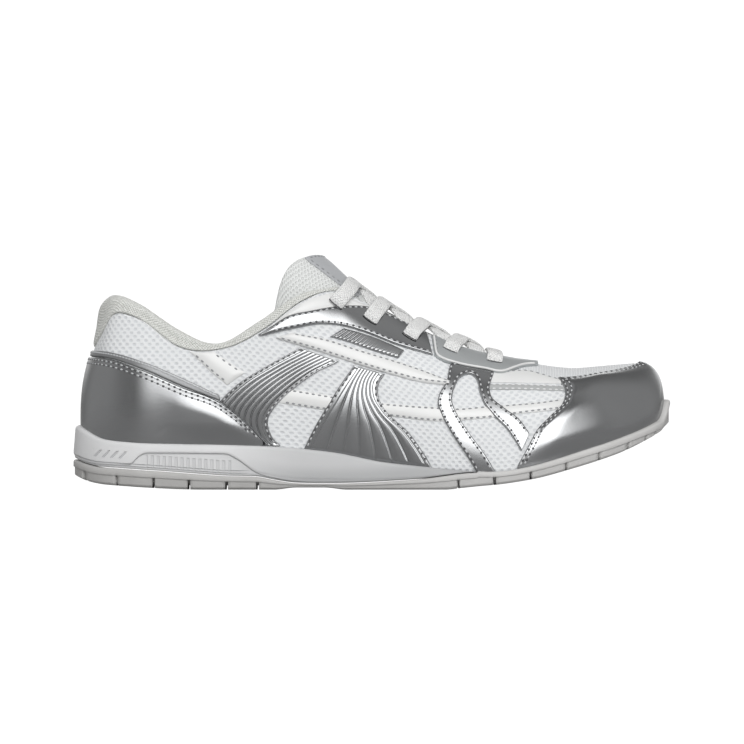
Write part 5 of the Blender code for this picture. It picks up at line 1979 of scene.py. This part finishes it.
def insole_side(side, station):
    """One side of the insole's ring: its lower edge, its upper edge and a point over the dished bed."""
    line = SIDE_CURVES[side](station)[FOOT]
    normal = plan_normal(side, station)
    edge = line - normal * INSOLE_INSET
    bed = sole_heights(edge)[BED]
    return [
        at_height(edge, bed + FIT_GAP),
        at_height(edge, bed + INSOLE_EDGE * INSOLE_THICKNESS),
        at_height(edge - normal * INSOLE_SHOULDER, bed + INSOLE_THICKNESS),
    ]


def round_corners(rings, radius):
    """Cuts each corner of closed rings to two, near it, so that edges look moulded."""
    cuts = []
    for shift in (1, -1):
        away = np.roll(rings, shift, axis=1) - rings
        length = np.linalg.norm(away, axis=2, keepdims=True) + SMALLEST_LENGTH
        cuts.append(rings + away / length * np.minimum(radius, CORNER_SHARE * length))
    return np.stack(cuts, axis=2).reshape(len(rings), -1, 3)


def whole_ring(one_side, *place):
    """A closed ring from a function that gives one side of it."""
    return [*one_side(OUTER, *place), *reversed(one_side(INNER, *place))]


def ring_piece(name, rings, paint, node, radius, rounds, panelled=False):
    """A piece through closed rings along the foot, with its side unrolled in millimetres.

    A panelled piece also gets each point's height over the panel's line.
    """
    rings = np.array(rings)
    for number in range(rounds):
        rings = round_corners(rings, radius / 2**number)
    rings = np.concatenate([rings, rings[:, :1]], axis=1)
    points = rings.transpose(1, 0, 2)
    heights = sole_heights(points)
    above = (points[..., 2] - heights[..., TREAD]) / MM
    flat = np.stack([drawn_along(points[..., 0]), above], axis=-1)
    bm = bmesh.new()
    lay_grid(bm, points, flat)
    if panelled:
        layer = bm.loops.layers.uv.new("PanelMap")
        for face in bm.faces:
            for loop in face.loops:
                place = np.array(loop.vert.co)
                loop[layer].uv = (0, (place[2] - sole_heights(place)[PANEL]) / MM)
    close_ends(bm)
    add_piece(name, bm, [paint], [node])


def outsole_stations():
    """Stations of the outsole as (station, grooved), with a close pair at each groove's two walls."""
    stations = [(station, False) for station in np.linspace(0, 1, OUTSOLE_RINGS)]
    front = station_at(along_foot(MIDSOLE_FRONT / MM))
    stations = [entry for entry in stations if abs(entry[0] - front) > FRONT_CLEARANCE]
    stations += [(front + step, False) for step in FRONT_STEP]
    for middle in HEEL_GROOVES_MM + FOREFOOT_GROOVES_MM:
        centre = along_foot(middle)
        start = groove_station(centre - GROOVE_WIDTH / 2)
        end = groove_station(centre + GROOVE_WIDTH / 2)
        start_in = groove_station(centre - GROOVE_WIDTH / 2 + GROOVE_WALL)
        end_in = groove_station(centre + GROOVE_WIDTH / 2 - GROOVE_WALL)
        low = start - GROOVE_CLEARANCE
        high = end + GROOVE_CLEARANCE
        stations = [entry for entry in stations if not low < entry[0] < high]
        stations += [(start, False), (start_in, True), (end_in, True), (end, False)]
    return sorted(stations)


def groove_station(along):
    """The station whose outside, beyond the sole line, lies at a place along the foot."""
    stations = np.linspace(0, 1, GROOVE_PLACES)
    rows = SIDE_CURVES[OUTER](stations)
    outside = rows[:, 0] + plan_normal(OUTER, stations)[:, 0] * rows[:, FLARE]
    return float(np.interp(along, np.maximum.accumulate(outside), stations))


def build_sole(paints):
    """The midsole, the outsole under it and the insole on it."""
    last = station_at(along_foot((MIDSOLE_FRONT - FIT_GAP) / MM))
    rings = [whole_ring(midsole_side, station) for station in np.linspace(0, last, MIDSOLE_RINGS)]
    ring_piece("midsole_wedge", rings, paints["foam"], "midsole", MIDSOLE_ROUNDING, 2, panelled=True)
    rings = [whole_ring(outsole_side, *place) for place in outsole_stations()]
    ring_piece("outsole_tread", rings, paints["rubber"], "outsole", OUTSOLE_ROUNDING, 1)
    rings = [whole_ring(insole_side, station) for station in np.linspace(0, 1, INSOLE_RINGS)]
    ring_piece("insole_bed", rings, paints["lining"], "insole", INSOLE_ROUNDING, 2)


# Studio

FLOOR_HALF_SIZE = 1.6
ROOM_LIGHT = 0.25
SIDE_LIGHT = 0.24
BACK_LIGHT = 1.2
SOFTBOX_LIGHT = 3.9
WALL_LIGHT = 1.1

# Borders of the lights around the shoe, each from dark to bright in parts of a direction
WALL_SIDES = (0.3, 0.15)
WALL_DEPTH = (0.4, 0.6)
WALL_TOP = (0.3, 0.12)
SOFTBOX_FOOT = (0.0, 0.24)
SOFTBOX_TOP = (0.90, 0.66)
SOFTBOX_LEFT = (-0.52, -0.12)
SOFTBOX_RIGHT = (0.72, 0.30)
SOFTBOX_FRONT = (0.0, -0.2)
SIDE_BORDER = (0.55, 0.95)
BACK_BORDER = (0.72, 0.97)
BACK_FOOT = (0.02, 0.2)
BACK_TOP = (0.62, 0.36)


def build_floor(paint):
    """The plain floor that the shoe stands on."""
    bm = bmesh.new()
    bmesh.ops.create_grid(bm, x_segments=1, y_segments=1, size=FLOOR_HALF_SIZE)
    mesh = bpy.data.meshes.new("floor")
    bm.to_mesh(mesh)
    bm.free()
    mesh.materials.append(paint)
    floor = bpy.data.objects.new("floor", mesh)
    bpy.context.scene.collection.objects.link(floor)


class Sky(Paint):
    """The studio around the shoe, under construction."""

    def __init__(self, name):
        self.world = bpy.data.worlds.new(name)
        self.world.use_nodes = True
        self.tree = self.world.node_tree
        self.shader = self.tree.nodes["Background"]

    def direction(self):
        """The direction that is looked at: to the right, away and up."""
        place = self.node("ShaderNodeTexCoord")
        parts = self.node("ShaderNodeSeparateXYZ", None, {0: place.outputs["Generated"]})
        return [Number(self, output) for output in parts.outputs]


def build_light():
    """A white wall behind the shoe, a dim room, a broad softbox at the front and a weaker one at the back."""
    sky = Sky("studio")
    side, depth, height = sky.direction()
    level = ((1 - height * height) ** 0.5).most(0.01)
    turn = side / level
    facing = depth / level
    wall = side.size().step(*WALL_SIDES) * depth.step(*WALL_DEPTH) * height.step(*WALL_TOP)
    softbox = height.step(*SOFTBOX_FOOT) * height.step(*SOFTBOX_TOP)
    softbox = softbox * turn.step(*SOFTBOX_LEFT) * turn.step(*SOFTBOX_RIGHT) * facing.step(*SOFTBOX_FRONT)
    sides = turn.size().step(*SIDE_BORDER) * SIDE_LIGHT
    behind = facing.step(*BACK_BORDER) * height.step(*BACK_FOOT) * height.step(*BACK_TOP) * BACK_LIGHT
    room = ROOM_LIGHT + sides + behind + softbox * SOFTBOX_LIGHT
    sky.set(Color=(1, 1, 1), Strength=room.most(wall * WALL_LIGHT))
    bpy.context.scene.world = sky.world


def build_camera():
    """A long lens square to the outer side of the shoe, at the floor's level."""
    sensor = 36
    distance = 6.0
    frame_width = 0.3254
    frame_middle = 0.0516
    nearest = 0.02
    low = 0.0001
    look_up = math.atan2(frame_middle - low, distance)
    lens = bpy.data.cameras.new("camera")
    lens.sensor_width = sensor
    lens.lens = sensor * (distance - nearest) / frame_width
    lens.clip_end = 40
    camera = bpy.data.objects.new("camera", lens)
    camera.location = (0, -distance, low)
    camera.rotation_euler = (math.radians(90) + look_up, 0, 0)
    bpy.context.scene.collection.objects.link(camera)
    bpy.context.scene.camera = camera


def make_paints():
    """All finishes and threads, by the name that the pieces use."""
    return {
        "mesh": mesh_cloth(),
        "tongue_mesh": tongue_cloth(),
        "knit": knit_cloth(),
        "foil": foil_leather(),
        "dull": dull_foil(),
        "satin": satin_silver(),
        "white": white_leather(),
        "grey_band": grey_synthetic(),
        "label": grey_label(),
        "foam": foam(),
        "rubber": rubber(),
        "elastic": elastic(),
        "lining": lining_cloth(),
        "slot": slot_dark("slot_shadow"),
        "silver": thread("thread_silver", (0.72, 0.73, 0.74), (0.50, 0.51, 0.52)),
        "rope": thread("thread_rope", (0.62, 0.63, 0.64), (0.40, 0.41, 0.42)),
        # Painted shade for the needle holes.
        "hole": slot_dark("needle_hole_shade"),
        "grey": thread("thread_grey", (0.38, 0.39, 0.40), (0.22, 0.23, 0.24)),
        "pale": thread("thread_pale", (0.90, 0.90, 0.90), (0.74, 0.75, 0.75)),
    }


def build_shoe():
    """All pieces of the shoe."""
    paints = make_paints()
    sewing = Sewing()
    build_sole(paints)
    build_upper(paints)
    build_cuff(paints)
    build_tongue(paints, sewing)
    build_counter(paints, sewing)
    build_trim(paints, sewing)
    build_cap(paints, sewing)
    for word, side in SIDES.items():
        for overlay in OVERLAYS:
            patch, height = build_overlay(overlay, word, side, paints, sewing)
            if overlay.paint == "satin":
                build_stay_edge(patch, height, word, paints)
        for stripe in STRIPES:
            build_stripe(stripe, word, side, paints, sewing)
        build_strap(word, side, paints, sewing)
    build_laces(paints)
    sewing.finish(paints)


build_shoe()
build_floor(floor_pale())
build_light()
build_camera()
bpy.context.scene.view_settings.view_transform = "Standard"
